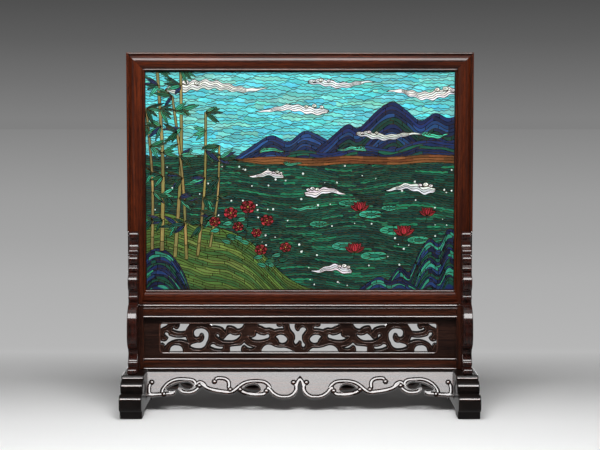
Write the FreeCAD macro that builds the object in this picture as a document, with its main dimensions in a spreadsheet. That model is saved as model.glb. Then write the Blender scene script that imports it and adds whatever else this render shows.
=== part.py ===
import FreeCAD, Part
import math
import os
import re

import Sketcher
from FreeCAD import Vector

# Lengths in mm. X runs across the screen, Z is up, and the front faces -Y.
# The origin lies on the floor at the middle of the four foot pads.
SIZES = {
    # framed picture
    "frame_width": 561,
    "frame_height": 408.3,
    "frame_face": 29.5,
    "bottom_face": 23,
    "frame_thick": 26,
    "moulding_plane": 9,
    "frame_chamfer": 1.5,
    "groove_front": 5,
    "groove_back": 7,
    "groove_deep": 7,
    "mitre_tenon_thick": 7,
    "mitre_tenon_wall": 6,
    "foot_tenon_wall": 3,
    # picture, its backing and the battens behind it
    "plaque_thick": 4,
    "tray_rim": 2,
    "enamel_thick": 2.8,
    "panel_gap": 1,
    "batten_width": 24,
    "batten_spread": 125,
    "batten_sink": 3,
    "batten_flare": 2,
    "batten_tenon": 4,
    "batten_shoulder": 1.5,
    # feet, posts and spandrels
    "foot_height": 65,
    "foot_width": 35.5,
    "foot_depth": 228,
    "side_inset": 13.5,
    "post_width": 24.5,
    "post_depth": 31,
    "post_step": 8,
    "post_rise": 118.5,
    "post_tenon_deep": 40,
    "post_tenon_width": 14,
    "post_tenon_depth": 18,
    "screen_tongue": 5,
    "screen_tongue_thick": 6,
    "spandrel_thick": 14.5,
    "spandrel_reach": 54,
    "spandrel_lip": 2,
    "spandrel_shift": 1.75,
    "tongue_thick": 5,
    "tongue_deep": 4,
    "peg_deep": 8,
    # rails, waist panel and aprons
    "rail_depth": 34,
    "rail_bead": 1.5,
    "upper_rail_height": 21.5,
    "lower_rail_height": 18.5,
    "rail_tenon_thick": 10,
    "rail_tenon_deep": 11,
    "rail_tenon_inset": 3.5,
    "waist_height": 66.5,
    "waist_thick": 14,
    "waist_tongue": 4.5,
    "waist_tongue_thick": 6,
    "opening_margin": 28.9,
    "opening_shift": -2.4,
    "opening_above": 11,
    "opening_below": 8.5,
    "opening_corner": 5,
    "fret_sink": 1.5,
    "apron_thick": 7,
    "apron_run": 24.5,
    "apron_drop": 42.4,
    "apron_end": 4,
    "apron_spline": 3.5,
    # clearances, and how far cuts run past a face
    "fit_gap": 0.1,
    "slide_gap": 0.3,
    "seat_gap": 0.2,
    "overrun": 5,
}

# Heights and half-widths that follow from the sizes above.
HALF_FRAME = "(frame_width / 2)"
WAIST_BOTTOM = "(foot_height + lower_rail_height)"
WAIST_TOP = "(foot_height + lower_rail_height + waist_height)"
SEAT = "(foot_height + lower_rail_height + waist_height + upper_rail_height)"
POST_TOP = f"({SEAT} + post_rise)"
FRAME_BOTTOM = f"({SEAT} + seat_gap)"
FRAME_TOP = f"({FRAME_BOTTOM} + frame_height)"
SHOULDER = f"({POST_TOP} + seat_gap)"
SIGHT_X = f"({HALF_FRAME} - frame_face)"
SIGHT_BOTTOM = f"({FRAME_BOTTOM} + bottom_face)"
SIGHT_TOP = f"({FRAME_TOP} - frame_face)"
SIDE = f"({HALF_FRAME} - side_inset)"
POST_OUTER = f"({SIDE} + post_width / 2)"
POST_INNER = f"({SIDE} - post_width / 2)"
POST_STEP = f"({POST_INNER} + post_step)"
STILE_FOOT = f"({POST_STEP} - slide_gap)"
FOOT_INNER = f"({SIDE} - foot_width / 2)"
FOOT_OUTER = f"({SIDE} + foot_width / 2)"
SPANDREL_X = f"({SIDE} + spandrel_shift)"
RAIL_PLANE = "(rail_depth / 2 - rail_bead)"
OPENING_X = f"({POST_INNER} - opening_margin)"
OPENING_BOTTOM = f"({WAIST_BOTTOM} + opening_below)"
OPENING_TOP = f"({WAIST_TOP} - opening_above)"
APRON_SLOPE = "sqrt(apron_run ^ 2 + apron_drop ^ 2)"

# Frame moulding, from the outer edge to the sight edge, in shares of the face width.
OUTER_BEAD_SHARES = (0, 0.12)
SWELL_SHARES = (0.18, 0.86)
SIGHT_BEAD_SHARES = (0.88, 1)
BEAD_BOW_SHARE = 0.34
SWELL_BOW_SHARE = 0.2
TOP_TENON_SHARES = (0.34, 0.72)
FOOT_TENON_SHARES = (0.2, 0.6)

# Rail moulding, from the bottom edge to the top edge, in shares of the rail's height.
RAIL_BEAD_SHARE = 0.14
LOWER_SWELL_SHARES = (0.19, 0.81)
UPPER_SWELL_SHARES = (0.19, 0.66)
SECOND_BEAD_SHARES = (0.68, 0.8)
RAIL_BEAD_BOW_SHARE = 0.32
RAIL_SWELL_BOW_SHARE = 0.08

# Front end of a foot, from the top to the pad: shares of half its depth and of its height,
# and the bow of the curve to the next point.
FOOT_END_SHARES = (
    (0.63, 1.0, 0.32),
    (0.63, 0.905, 0.0),
    (0.69, 0.89, 0.3),
    (0.79, 0.6, 0.0),
    (0.86, 0.6, 0.22),
    (1.0, 0.47, 0.0),
    (1.0, 0.31, 0.22),
    (0.915, 0.195, 0.0),
    (0.885, 0.195, 0.0),
    (0.885, 0.0, 0.0),
    (0.58, 0.0, -0.2),
    (0.5, 0.11, 0.0),
)

# Front edge of a spandrel, from the bottom to the top: shares of its reach and of its height,
# and the bow of the curve to the next point.
SPANDREL_EDGE_SHARES = (
    (0.94, 0.0, 0.28),
    (0.92, 0.042, 0.0),
    (0.72, 0.05, 0.28),
    (0.7, 0.09, 0.0),
    (0.6, 0.135, 0.0),
    (0.68, 0.165, 0.2),
    (0.98, 0.3, 0.16),
    (0.56, 0.487, 0.0),
    (0.4, 0.5, 0.0),
    (0.47, 0.512, 0.28),
    (0.47, 0.55, 0.0),
    (0.5, 0.575, 0.3),
    (0.5, 0.7, 0.0),
    (0.42, 0.715, 0.28),
    (0.44, 0.75, 0.0),
    (0.38, 0.765, 0.28),
    (0.41, 0.825, 0.0),
    (0.31, 0.835, 0.28),
    (0.28, 0.875, -0.25),
    (0.19, 0.945, 0.28),
    (0.13, 1.0, 0.0),
)
SPANDREL_TONGUE_SHARES = (0.06, 0.94)
SPANDREL_PEG_SHARES = (0.2, 0.75)

# Piercings of the waist fret on one side of the middle: distance from the middle as a share of
# half the opening, depth below its top as a share of its height, and the bow of the curve to
# the next corner, as a share of the chord between them.
FRET_RISE_SHARE = 0.2075
FRET_SIDE_SHARES = (
    # corner beside the first hook
    ((1, 0.166, 0), (1, 0.05, 0), (0.988, 0, 0), (0.941, 0, -0.12)),
    # under the first hook
    ((0.867, 0, 0), (0.789, 0, 0), (0.828, 0.284, -0.09), (0.911, 0.236, -0.35),
     (0.901, 0.126, 0.18), (0.877, 0.181, 0.17)),
    # waisted gap between the end scrolls
    ((1, 0.693, 0), (1, 0.545, 0.33), (0.947, 0.506, -0.08), (0.974, 0.376, -0.55),
     (0.939, 0.396, 0.09), (0.816, 0.448, 0), (0.796, 0.668, 0.16), (0.954, 0.727, 0),
     (0.97, 0.857, 0.21)),
    # arch on the lower edge
    ((0.839, 1, 0), (0.936, 1, -0.28), (0.881, 0.746, -0.28)),
    # great curl
    ((0.763, 0.688, 0.15), (0.79, 0.815, 0.09), (0.73, 0.9, 0.21), (0.668, 0.69, 0.09),
     (0.65, 0.336, 0.2), (0.722, 0.161, 0.32), (0.755, 0.462, 0.31), (0.717, 0.412, -0.47),
     (0.691, 0.424, -0.34), (0.73, 0.644, 0)),
    # upper gap with a hanging curl
    ((0.642, 0, 0), (0.395, 0, -0.21), (0.447, 0.209, 0.12), (0.516, 0.096, 0.09),
     (0.53, 0.301, 0), (0.551, 0.172, 0.07), (0.625, 0.097, 0)),
    # crescent
    ((0.419, 0.404, -0.17), (0.504, 0.619, -0.13), (0.6, 0.426, -0.62), (0.574, 0.444, 0.34),
     (0.535, 0.498, -0.07), (0.494, 0.326, 0.14), (0.426, 0.37, -0.38)),
    # bean on the lower edge
    ((0.639, 0.754, -0.27), (0.599, 0.754, 0.07), (0.548, 0.793, -0.33), (0.57, 0.919, -0.07),
     (0.641, 0.828, -0.16)),
    # lower gap round a standing knob
    ((0.497, 1, 0), (0.408, 1, -0.31), (0.389, 0.774, 0.27), (0.318, 0.818, -0.11),
     (0.394, 0.64, 0), (0.417, 0.751, 0), (0.484, 0.782, 0), (0.497, 0.8, 0)),
    # eye with a scalloped brow
    ((0.362, 0.468, 0.17), (0.307, 0.387, -0.09), (0.309, 0.292, 0.09), (0.241, 0.396, -0.17),
     (0.214, 0.369, -0.31), (0.232, 0.55, -0.07), (0.323, 0.596, -0.06)),
    # upper gap over the brow
    ((0.296, 0, 0), (0.159, 0, 0.3), (0.128, 0.089, -0.41), (0.111, 0.194, 0.04),
     (0.177, 0.237, 0.06), (0.216, 0.166, -0.16), (0.265, 0.11, -0.14), (0.295, 0.038, 0)),
    # loop beside the middle
    ((0.169, 0.455, -0.28), (0.078, 0.542, -0.29), (0.141, 0.679, 0.09), (0.17, 0.477, 0)),
)

# Piercings of the waist fret that have no mirror image, in the same shares.
FRET_MIDDLE_SHARES = (
    # lower gap left of the middle
    ((0.268, 1, 0), (0.022, 1, 0.07), (0.107, 0.823, -0.09), (0.193, 0.742, 0.22),
     (0.267, 0.887, 0)),
    # lower gap right of the middle
    ((-0.07, 1, 0), (-0.292, 1, 0.25), (-0.202, 0.764, -0.06), (-0.107, 0.837, 0.14)),
    # forked gap between a hanging and a standing knob
    ((0.067, 0, 0), (0.019, 0, 0.19), (0.016, 0.218, 0.41), (-0.006, 0.204, -0.38),
     (-0.06, 0.222, 0), (-0.028, 0.428, 0.12), (-0.045, 0.695, -0.3), (-0.032, 0.858, -0.19),
     (-0.021, 0.708, 0.26), (-0.003, 0.628, -0.13), (0.022, 0.752, -0.23), (0.028, 0.548, 0.14),
     (0.045, 0.313, -0.12)),
)

# Lower edge of an apron from the middle outwards: distance from the middle as a share of its
# half-length, distance down the slope as a share of the slope, and bow as for the fret.
APRON_RISE_SHARE = 0.1965
APRON_EDGE_SHARES = (
    (0, 0.401, 0.1), (0.014, 0.678, -0.19), (0.098, 1.004, -0.15), (0.205, 0.7, -0.22),
    (0.26, 0.922, -0.1), (0.391, 0.76, 0), (0.404, 0.689, -0.15), (0.498, 0.825, -0.06),
    (0.623, 0.645, 0), (0.644, 0.559, -0.19), (0.745, 0.842, -0.19), (0.797, 0.635, -0.15),
    (0.757, 0.682, 0.22), (0.693, 0.552, 0.17), (0.755, 0.418, 0.08), (0.871, 0.651, 0.3),
    (0.857, 0.735, 0.13), (0.807, 0.711, -0.25), (0.848, 0.889, 0), (0.959, 0.935, 0),
    (0.99, 0.932, 0), (1.1, 0.932, 0), (1.1, 1.4, 0), (0, 1.4, 0),
)
APRON_LENS_SHARES = (
    (0.255, 0.654, 0.21), (0.323, 0.505, 0.15), (0.377, 0.733, 0.12), (0.33, 0.822, 0.12),
    (0.261, 0.755, 0.13),
)
APRON_SPLINE_SHARES = (0.25, 0.65)
BATTEN_TENON_SHARE = 0.4

LEFT_RIGHT = Vector(1, 0, 0)
FRONT_BACK = Vector(0, 1, 0)

os.makedirs("parts", exist_ok=True)
doc = FreeCAD.newDocument("table_screen")
sizes = doc.addObject("Spreadsheet::Sheet", "Sizes")
for row, (name, size) in enumerate(SIZES.items(), start=1):
    sizes.set(f"A{row}", name)
    sizes.set(f"B{row}", str(size))
    sizes.setAlias(f"B{row}", name)
doc.recompute()


def bind(text):
    """Expression text with each size name pointed at its cell."""
    return re.sub("[a-z_]+", lambda m: f"Sizes.{m[0]}" if m[0] in SIZES else m[0], text)


def value(text):
    return float(sizes.evalExpression(bind(text)))


def new_body(label):
    body = doc.addObject("PartDesign::Body", label)
    body.Label = label
    return body


def origin_plane(body, role):
    return next(f for f in body.Origin.OriginFeatures if f.Role == role)


def block(body, kind, name, x, y, z):
    """Add or cut a block; x, y and z are pairs of expressions, low and high."""
    part = body.newObject(f"PartDesign::{kind}Box", name)
    part.AttachmentSupport = [(origin_plane(body, "XY_Plane"), "")]
    part.MapMode = "FlatFace"
    for size, axis, (low, high) in zip(("Length", "Width", "Height"), "xyz", (x, y, z)):
        part.setExpression(size, bind(f"({high}) - ({low})"))
        part.setExpression(f"AttachmentOffset.Base.{axis}", bind(low))
    return part


def across(size):
    """Low and high of a size centred on zero."""
    return (f"-({size}) / 2", f"({size}) / 2")


def arc_between(start, end, bow):
    """Arc that bows to the right of the way from start to end by a share of its chord."""
    chord = end - start
    right = Vector(chord.y, -chord.x, 0)
    crown = (start + end) / 2 + right * bow
    radius = chord.Length * (1 / (8 * abs(bow)) + abs(bow) / 2)
    centre = crown - right * (math.copysign(radius, bow) / chord.Length)
    first, last = (start, end) if bow > 0 else (end, start)
    angles = [math.atan2(p.y - centre.y, p.x - centre.x) for p in (first, last)]
    return Part.ArcOfCircle(Part.Circle(centre, Vector(0, 0, 1), radius), *angles)


def outline(body, name, role, corners, lift="0"):
    """Closed sketch on an origin plane.

    Each corner is (x, y, bow): two expressions, and the outward bow of the curve to the next
    corner as a share of its chord (0 for a straight line).
    """
    sketch = body.newObject("Sketcher::SketchObject", name)
    sketch.AttachmentSupport = [(origin_plane(body, role), "")]
    sketch.MapMode = "FlatFace"
    sketch.setExpression("AttachmentOffset.Base.z", bind(lift))
    points = [Vector(value(x), value(y), 0) for x, y, bow in corners]
    pairs = list(zip(points, points[1:] + points[:1]))
    turn = 1 if sum(p.x * q.y - p.y * q.x for p, q in pairs) > 0 else -1
    rules = []
    bound = []
    ends = []
    for index, ((p, q), (x, y, bow)) in enumerate(zip(pairs, corners)):
        bow = bow * turn
        sketch.addGeometry(arc_between(p, q, bow) if bow else Part.LineSegment(p, q), False)
        ends.append((2, 1) if bow < 0 else (1, 2))
        if bow:
            next_x, next_y, _ = corners[(index + 1) % len(corners)]
            chord = f"sqrt((({next_x}) - ({x})) ^ 2 + (({next_y}) - ({y})) ^ 2)"
            ratio_share = 1 / (8 * abs(bow)) + abs(bow) / 2
            rules.append(Sketcher.Constraint("Radius", index, (q - p).Length * ratio_share))
            bound.append(f"{chord} * {ratio_share}")
        for kind, text, size in (("DistanceX", x, p.x), ("DistanceY", y, p.y)):
            rules.append(Sketcher.Constraint(kind, -1, 1, index, ends[index][0], size))
            bound.append(text)
    for index in range(len(corners)):
        after = (index + 1) % len(corners)
        joint = (index, ends[index][1], after, ends[after][0])
        rules.append(Sketcher.Constraint("Coincident", *joint))
    sketch.addConstraint(rules)
    for index, text in enumerate(bound):
        sketch.setExpression(f"Constraints[{index}]", bind(text))
    doc.recompute()
    return sketch


def sweep(body, kind, sketch, length, both_ways=False, reverse=False):
    """Pad or Pocket of a sketch."""
    part = body.newObject(f"PartDesign::{kind}", f"{sketch.Name}_{kind.lower()}")
    part.Profile = sketch
    part.setExpression("Length", bind(length))
    part.SideType = "Symmetric" if both_ways else "One side"
    part.Reversed = reverse
    sketch.Visibility = False
    return part


def mirrored(source, label, normal):
    copy = doc.addObject("Part::Mirroring", label)
    copy.Label = label
    copy.Source = source
    copy.Normal = normal
    return copy


def ring_face(corners, wide, tall, side, rise_share):
    """Face inside a ring of corners: shares of wide to one side and of tall downwards.

    The bows are drawn for a tall of rise_share times wide, and stretch as the corners do.
    """
    def spot(u, v):
        return Vector(side * u * wide, -v * tall, 0)

    edges = []
    for (u, v, bow), (next_u, next_v, _) in zip(corners, corners[1:] + corners[:1]):
        crown = spot((u + next_u) / 2 + bow * (next_v - v) * rise_share,
                     (v + next_v) / 2 - bow * (next_u - u) / rise_share)
        ends = (spot(u, v), spot(next_u, next_v))
        edge = Part.Arc(ends[0], crown, ends[1]) if bow else Part.LineSegment(*ends)
        edges.append(edge.toShape())
    return Part.Face(Part.Wire(edges))


def pierced(board, label, faces, base, up, through):
    """Board with every face, stood on base with its y axis along up, cut through it."""
    tool = doc.addObject("Part::Feature", f"{label}_piercings")
    stand = FreeCAD.Placement(base, FreeCAD.Rotation(LEFT_RIGHT, up, Vector(), "XYZ"))
    solids = []
    for face in faces:
        face.Placement = stand
        solids.append(face.extrude(through))
    tool.Shape = Part.makeCompound(solids)
    cut = doc.addObject("Part::Cut", label)
    cut.Label = label
    cut.Base = board
    cut.Tool = tool
    return cut


def frame_section(face, edge):
    """Frame section: (distance from the axis, depth, bow); edge turns a depth of face to an axis."""
    plane = "-moulding_plane"
    corners = [
        (OUTER_BEAD_SHARES[0], plane, BEAD_BOW_SHARE),
        (OUTER_BEAD_SHARES[1], plane, 0),
        (SWELL_SHARES[0], plane, SWELL_BOW_SHARE),
        (SWELL_SHARES[1], plane, 0),
        (SIGHT_BEAD_SHARES[0], plane, BEAD_BOW_SHARE),
        (SIGHT_BEAD_SHARES[1], plane, 0),
        (SIGHT_BEAD_SHARES[1], "-groove_front", 0),
    ]
    section = [(edge(f"{share} * {face}"), depth, bow) for share, depth, bow in corners]
    back = "frame_thick / 2"
    section += [
        (edge(f"({face} - groove_deep)"), "-groove_front", 0),
        (edge(f"({face} - groove_deep)"), "groove_back", 0),
        (edge(face), "groove_back", 0),
        (edge(face), f"{back} - frame_chamfer", 0),
        (edge(f"({face} - frame_chamfer)"), back, 0),
        (edge("frame_chamfer"), back, 0),
        (edge("0"), f"{back} - frame_chamfer", 0),
    ]
    return section


def on_mitre(start, end, share):
    """Point on the line of a mitre, as a share of the way from its inner to its outer corner."""
    return tuple(f"({a}) + {share} * (({b}) - ({a}))" for a, b in zip(start, end))


PAST_INNER_SHARE = -0.5
PAST_OUTER_SHARE = 1.5
TOP_MITRE = ((SIGHT_X, SIGHT_TOP), (HALF_FRAME, FRAME_TOP))
FOOT_MITRE_SHARE = 0.7
FOOT_MITRE = ((SIGHT_X, SIGHT_BOTTOM),
              (f"{SIGHT_X} + {FOOT_MITRE_SHARE} * ({STILE_FOOT} - {SIGHT_X})", FRAME_BOTTOM))


def cut_mitre(body, name, mitre, keep_rail, side=""):
    """Cut a corner on its mitre, keeping the rail or the stile; side is "-" for the left."""
    inner = on_mitre(*mitre, PAST_INNER_SHARE)
    outer = on_mitre(*mitre, PAST_OUTER_SHARE)
    third = (outer[0], inner[1]) if keep_rail else (inner[0], outer[1])
    corners = [(f"{side}({x})", z, 0) for x, z in (inner, outer, third)]
    sketch = outline(body, name, "XZ_Plane", corners)
    sweep(body, "Pocket", sketch, "2 * frame_thick", both_ways=True)


def top_tenon_z(gap="0"):
    low, high = (f"{FRAME_TOP} - {share} * frame_face" for share in reversed(TOP_TENON_SHARES))
    return (f"{low} - {gap}", f"{high} + {gap}")


def foot_tenon_z(gap="0"):
    low, high = (f"{FRAME_BOTTOM} + {share} * bottom_face" for share in FOOT_TENON_SHARES)
    return (f"{low} - {gap}", f"{high} + {gap}")


def build_stile():
    body = new_body("stile_right")
    section = frame_section("frame_face", lambda d: f"{HALF_FRAME} - {d}")
    sketch = outline(body, "stile_section", "XY_Plane", section, FRAME_BOTTOM)
    sweep(body, "Pad", sketch, "frame_height")
    cut_mitre(body, "stile_top_mitre", TOP_MITRE, keep_rail=False)
    cut_mitre(body, "stile_foot_mitre", FOOT_MITRE, keep_rail=False)
    block(body, "Subtractive", "stile_notch",
          (STILE_FOOT, f"{HALF_FRAME} + overrun"),
          across("frame_thick + overrun"),
          (f"{FRAME_BOTTOM} - overrun", SHOULDER))
    block(body, "Additive", "stile_tongue",
          (f"{STILE_FOOT} - tongue_thick / 2", f"{STILE_FOOT} + screen_tongue"),
          across("screen_tongue_thick"),
          (SIGHT_BOTTOM, SHOULDER))
    tenon = across("mitre_tenon_thick + 2 * fit_gap")
    block(body, "Subtractive", "stile_top_mortise",
          (f"{SIGHT_X} - overrun", f"{HALF_FRAME} - mitre_tenon_wall + fit_gap"),
          tenon, top_tenon_z("fit_gap"))
    block(body, "Subtractive", "stile_foot_mortise",
          (f"{SIGHT_X} - overrun", f"{STILE_FOOT} - foot_tenon_wall + fit_gap"),
          tenon, foot_tenon_z("fit_gap"))
    return body


def batten_mortises(body, z):
    """Sockets for the batten tenons in a frame rail."""
    for name, side in (("right_socket", ""), ("left_socket", "-")):
        half = f"({BATTEN_TENON_SHARE} * batten_width + fit_gap)"
        block(body, "Subtractive", f"{body.Name}_{name}",
              (f"{side}batten_spread - {half}", f"{side}batten_spread + {half}"),
              ("groove_back + batten_shoulder - fit_gap",
               "frame_thick / 2 - batten_shoulder + fit_gap"), z)


def build_top_rail():
    body = new_body("top_rail")
    section = frame_section("frame_face", lambda d: f"{FRAME_TOP} - {d}")
    sketch = outline(body, "top_section", "YZ_Plane", [(y, z, bow) for z, y, bow in section])
    sweep(body, "Pad", sketch, "frame_width", both_ways=True)
    for name, side in (("right", ""), ("left", "-")):
        cut_mitre(body, f"top_mitre_{name}", TOP_MITRE, True, side)
    reach = f"({HALF_FRAME} - mitre_tenon_wall)"
    block(body, "Additive", "top_tenon_right", (SIGHT_X, reach),
          across("mitre_tenon_thick"), top_tenon_z())
    block(body, "Additive", "top_tenon_left", (f"-{reach}", f"-{SIGHT_X}"),
          across("mitre_tenon_thick"), top_tenon_z())
    batten_mortises(body, (f"{SIGHT_TOP} - overrun", f"{SIGHT_TOP} + batten_tenon + fit_gap"))
    return body


def build_bottom_rail():
    body = new_body("bottom_rail")
    section = frame_section("bottom_face", lambda d: f"{FRAME_BOTTOM} + {d}")
    sketch = outline(body, "bottom_section", "YZ_Plane", [(y, z, bow) for z, y, bow in section])
    sweep(body, "Pad", sketch, f"2 * {STILE_FOOT}", both_ways=True)
    for name, side in (("right", ""), ("left", "-")):
        cut_mitre(body, f"bottom_mitre_{name}", FOOT_MITRE, True, side)
    root = f"({SIGHT_X} - mitre_tenon_wall)"
    reach = f"({STILE_FOOT} - foot_tenon_wall)"
    block(body, "Additive", "bottom_tenon_right", (root, reach),
          across("mitre_tenon_thick"), foot_tenon_z())
    block(body, "Additive", "bottom_tenon_left", (f"-{reach}", f"-{root}"),
          across("mitre_tenon_thick"), foot_tenon_z())
    batten_mortises(body, (f"{SIGHT_BOTTOM} - batten_tenon - fit_gap", f"{SIGHT_BOTTOM} + overrun"))
    return body


PANEL_X = f"({SIGHT_X} + groove_deep - panel_gap)"
PANEL_Z = (f"{SIGHT_BOTTOM} - groove_deep + panel_gap", f"{SIGHT_TOP} + groove_deep - panel_gap")


def build_plaque():
    """Shallow copper tray whose rim holds the enamel."""
    body = new_body("plaque_tray")
    front = "-groove_front"
    back = "-groove_front + plaque_thick"
    block(body, "Additive", "tray_plate", across(f"2 * {PANEL_X}"), (front, back), PANEL_Z)
    block(body, "Subtractive", "tray_well",
          across(f"2 * {PANEL_X} - 2 * tray_rim"),
          (f"{front} - overrun", f"{front} + enamel_thick"),
          (f"{PANEL_Z[0]} + tray_rim", f"{PANEL_Z[1]} - tray_rim"))
    return body


def build_enamel():
    body = new_body("enamel_face")
    block(body, "Additive", "enamel_fill",
          across(f"2 * {PANEL_X} - 2 * tray_rim"),
          ("-groove_front", "-groove_front + enamel_thick"),
          (f"{PANEL_Z[0]} + tray_rim", f"{PANEL_Z[1]} - tray_rim"))
    return body


def dovetail(gap="0"):
    """Section of a batten and its slot: wide where it is sunk in the board."""
    half = f"(batten_width / 2 + {gap})"
    sunk = f"groove_back - batten_sink - {gap}"
    return [
        (f"batten_spread - {half} - batten_flare", sunk, 0),
        (f"batten_spread + {half} + batten_flare", sunk, 0),
        (f"batten_spread + {half}", "groove_back", 0),
        (f"batten_spread + {half}", "frame_thick / 2", 0),
        (f"batten_spread - {half}", "frame_thick / 2", 0),
        (f"batten_spread - {half}", "groove_back", 0),
    ]


def build_back_board():
    body = new_body("back_board")
    block(body, "Additive", "board", across(f"2 * {PANEL_X}"),
          ("-groove_front + plaque_thick", "groove_back"), PANEL_Z)
    for name, side in (("right_slot", ""), ("left_slot", "-")):
        corners = [(f"{side}({x})", y, bow) for x, y, bow in dovetail("fit_gap")]
        sketch = outline(body, name, "XY_Plane", corners, PANEL_Z[1])
        sweep(body, "Pocket", sketch, f"{PANEL_Z[1]} - ({PANEL_Z[0]})")
    return body


def build_batten():
    body = new_body("batten_right")
    sketch = outline(body, "batten_section", "XY_Plane", dovetail(), SIGHT_BOTTOM)
    sweep(body, "Pad", sketch, f"{SIGHT_TOP} - {SIGHT_BOTTOM}")
    half = f"{BATTEN_TENON_SHARE} * batten_width"
    block(body, "Additive", "batten_tenons",
          (f"batten_spread - {half}", f"batten_spread + {half}"),
          ("groove_back + batten_shoulder", "frame_thick / 2 - batten_shoulder"),
          (f"{SIGHT_BOTTOM} - batten_tenon", f"{SIGHT_TOP} + batten_tenon"))
    return body


def apron_section(gap="0"):
    """Sloping section of the front apron under the lower rail."""
    slope = APRON_SLOPE
    thick = f"(apron_thick + {gap})"
    out_y = f"-{RAIL_PLANE} - apron_run"
    out_z = "foot_height - apron_drop"
    return [
        (f"-{RAIL_PLANE} - {gap}", "foot_height", 0),
        (f"{out_y} - {gap}", out_z, 0),
        (f"{out_y} + {thick} * apron_drop / {slope}", f"{out_z} - {thick} * apron_run / {slope}", 0),
        (f"-{RAIL_PLANE} + {thick} * {slope} / apron_drop", "foot_height", 0),
    ]


def apron_spline_y(gap="0"):
    low, high = (f"-{RAIL_PLANE} + {share} * apron_thick * {APRON_SLOPE} / apron_drop"
                 for share in APRON_SPLINE_SHARES)
    return (f"{low} - {gap}", f"{high} + {gap}")


def build_apron():
    board = new_body("apron_board")
    sketch = outline(board, "apron_section", "YZ_Plane", apron_section())
    sweep(board, "Pad", sketch, f"2 * ({FOOT_INNER} + apron_end)", both_ways=True)
    block(board, "Additive", "apron_spline", across(f"2 * {OPENING_X}"), apron_spline_y(),
          ("foot_height", "foot_height + apron_spline"))
    up = Vector(0, value("apron_run"), value("apron_drop"))
    out = Vector(0, -up.z, up.y).normalize()
    top = Vector(0, -value(RAIL_PLANE), value("foot_height")) + out * value("overrun")
    faces = [ring_face(ring, value(FOOT_INNER), up.Length, side, APRON_RISE_SHARE)
             for ring in (APRON_EDGE_SHARES, APRON_LENS_SHARES) for side in (1, -1)]
    return pierced(board, "apron_front", faces, top, up, out * -value("apron_thick + 2 * overrun"))


def rail_section(low, height, swell_shares, extra_bead_shares=()):
    """Rail section: a bead along each edge of both faces and a slightly swelled middle."""
    profile = [(0, RAIL_BEAD_BOW_SHARE), (RAIL_BEAD_SHARE, 0)]
    profile += list(zip(swell_shares, (RAIL_SWELL_BOW_SHARE, 0)))
    profile += list(zip(extra_bead_shares, (RAIL_BEAD_BOW_SHARE, 0)))
    profile += [(1 - RAIL_BEAD_SHARE, RAIL_BEAD_BOW_SHARE), (1, 0)]
    back = [(RAIL_PLANE, f"{low} + {share} * {height}", bow) for share, bow in profile]
    bows = [bow for share, bow in profile][-2::-1] + [0]
    front = [(f"-{RAIL_PLANE}", f"{low} + {share} * {height}", bow)
             for (share, _), bow in zip(reversed(profile), bows)]
    return back + front


def build_rail(label, low, height, *mouldings):
    body = new_body(label)
    section = rail_section(low, height, *mouldings)
    sketch = outline(body, f"{label}_section", "YZ_Plane", section)
    sweep(body, "Pad", sketch, f"2 * {POST_INNER}", both_ways=True)
    block(body, "Additive", f"{label}_tenons", across(f"2 * ({POST_INNER} + rail_tenon_deep)"),
          across("rail_tenon_thick"),
          (f"{low} + rail_tenon_inset", f"{low} + {height} - rail_tenon_inset"))
    return body


def waist_groove(body, z):
    """Groove along a rail for the tongue of the waist panel."""
    block(body, "Subtractive", f"{body.Name}_groove",
          across(f"2 * ({POST_INNER} + rail_tenon_deep + overrun)"),
          across("waist_tongue_thick + 2 * fit_gap"), z)


def build_upper_rail():
    body = build_rail("upper_rail", WAIST_TOP, "upper_rail_height",
                      UPPER_SWELL_SHARES, SECOND_BEAD_SHARES)
    waist_groove(body, (f"{WAIST_TOP} - overrun", f"{WAIST_TOP} + waist_tongue + fit_gap"))
    return body


def build_lower_rail():
    body = build_rail("lower_rail", "foot_height", "lower_rail_height", LOWER_SWELL_SHARES)
    waist_groove(body, (f"{WAIST_BOTTOM} - waist_tongue - fit_gap", f"{WAIST_BOTTOM} + overrun"))
    low, high = apron_spline_y("fit_gap")
    for name, y in (("front_slot", (low, high)), ("back_slot", (f"-({high})", f"-({low})"))):
        block(body, "Subtractive", f"lower_rail_{name}",
              across(f"2 * ({OPENING_X} + fit_gap)"), y,
              ("foot_height - overrun", "foot_height + apron_spline + fit_gap"))
    return body


def rounded_opening():
    """Outline of the fret opening with its rounded corners."""
    quarter_bow_share = (math.sqrt(2) - 1) / 2
    left, right = f"(opening_shift - {OPENING_X})", f"(opening_shift + {OPENING_X})"
    low, high, r = OPENING_BOTTOM, OPENING_TOP, "opening_corner"
    return [
        (f"{left} + {r}", low, 0), (f"{right} - {r}", low, quarter_bow_share),
        (right, f"{low} + {r}", 0), (right, f"{high} - {r}", quarter_bow_share),
        (f"{right} - {r}", high, 0), (f"{left} + {r}", high, quarter_bow_share),
        (left, f"{high} - {r}", 0), (left, f"{low} + {r}", quarter_bow_share),
    ]


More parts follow.
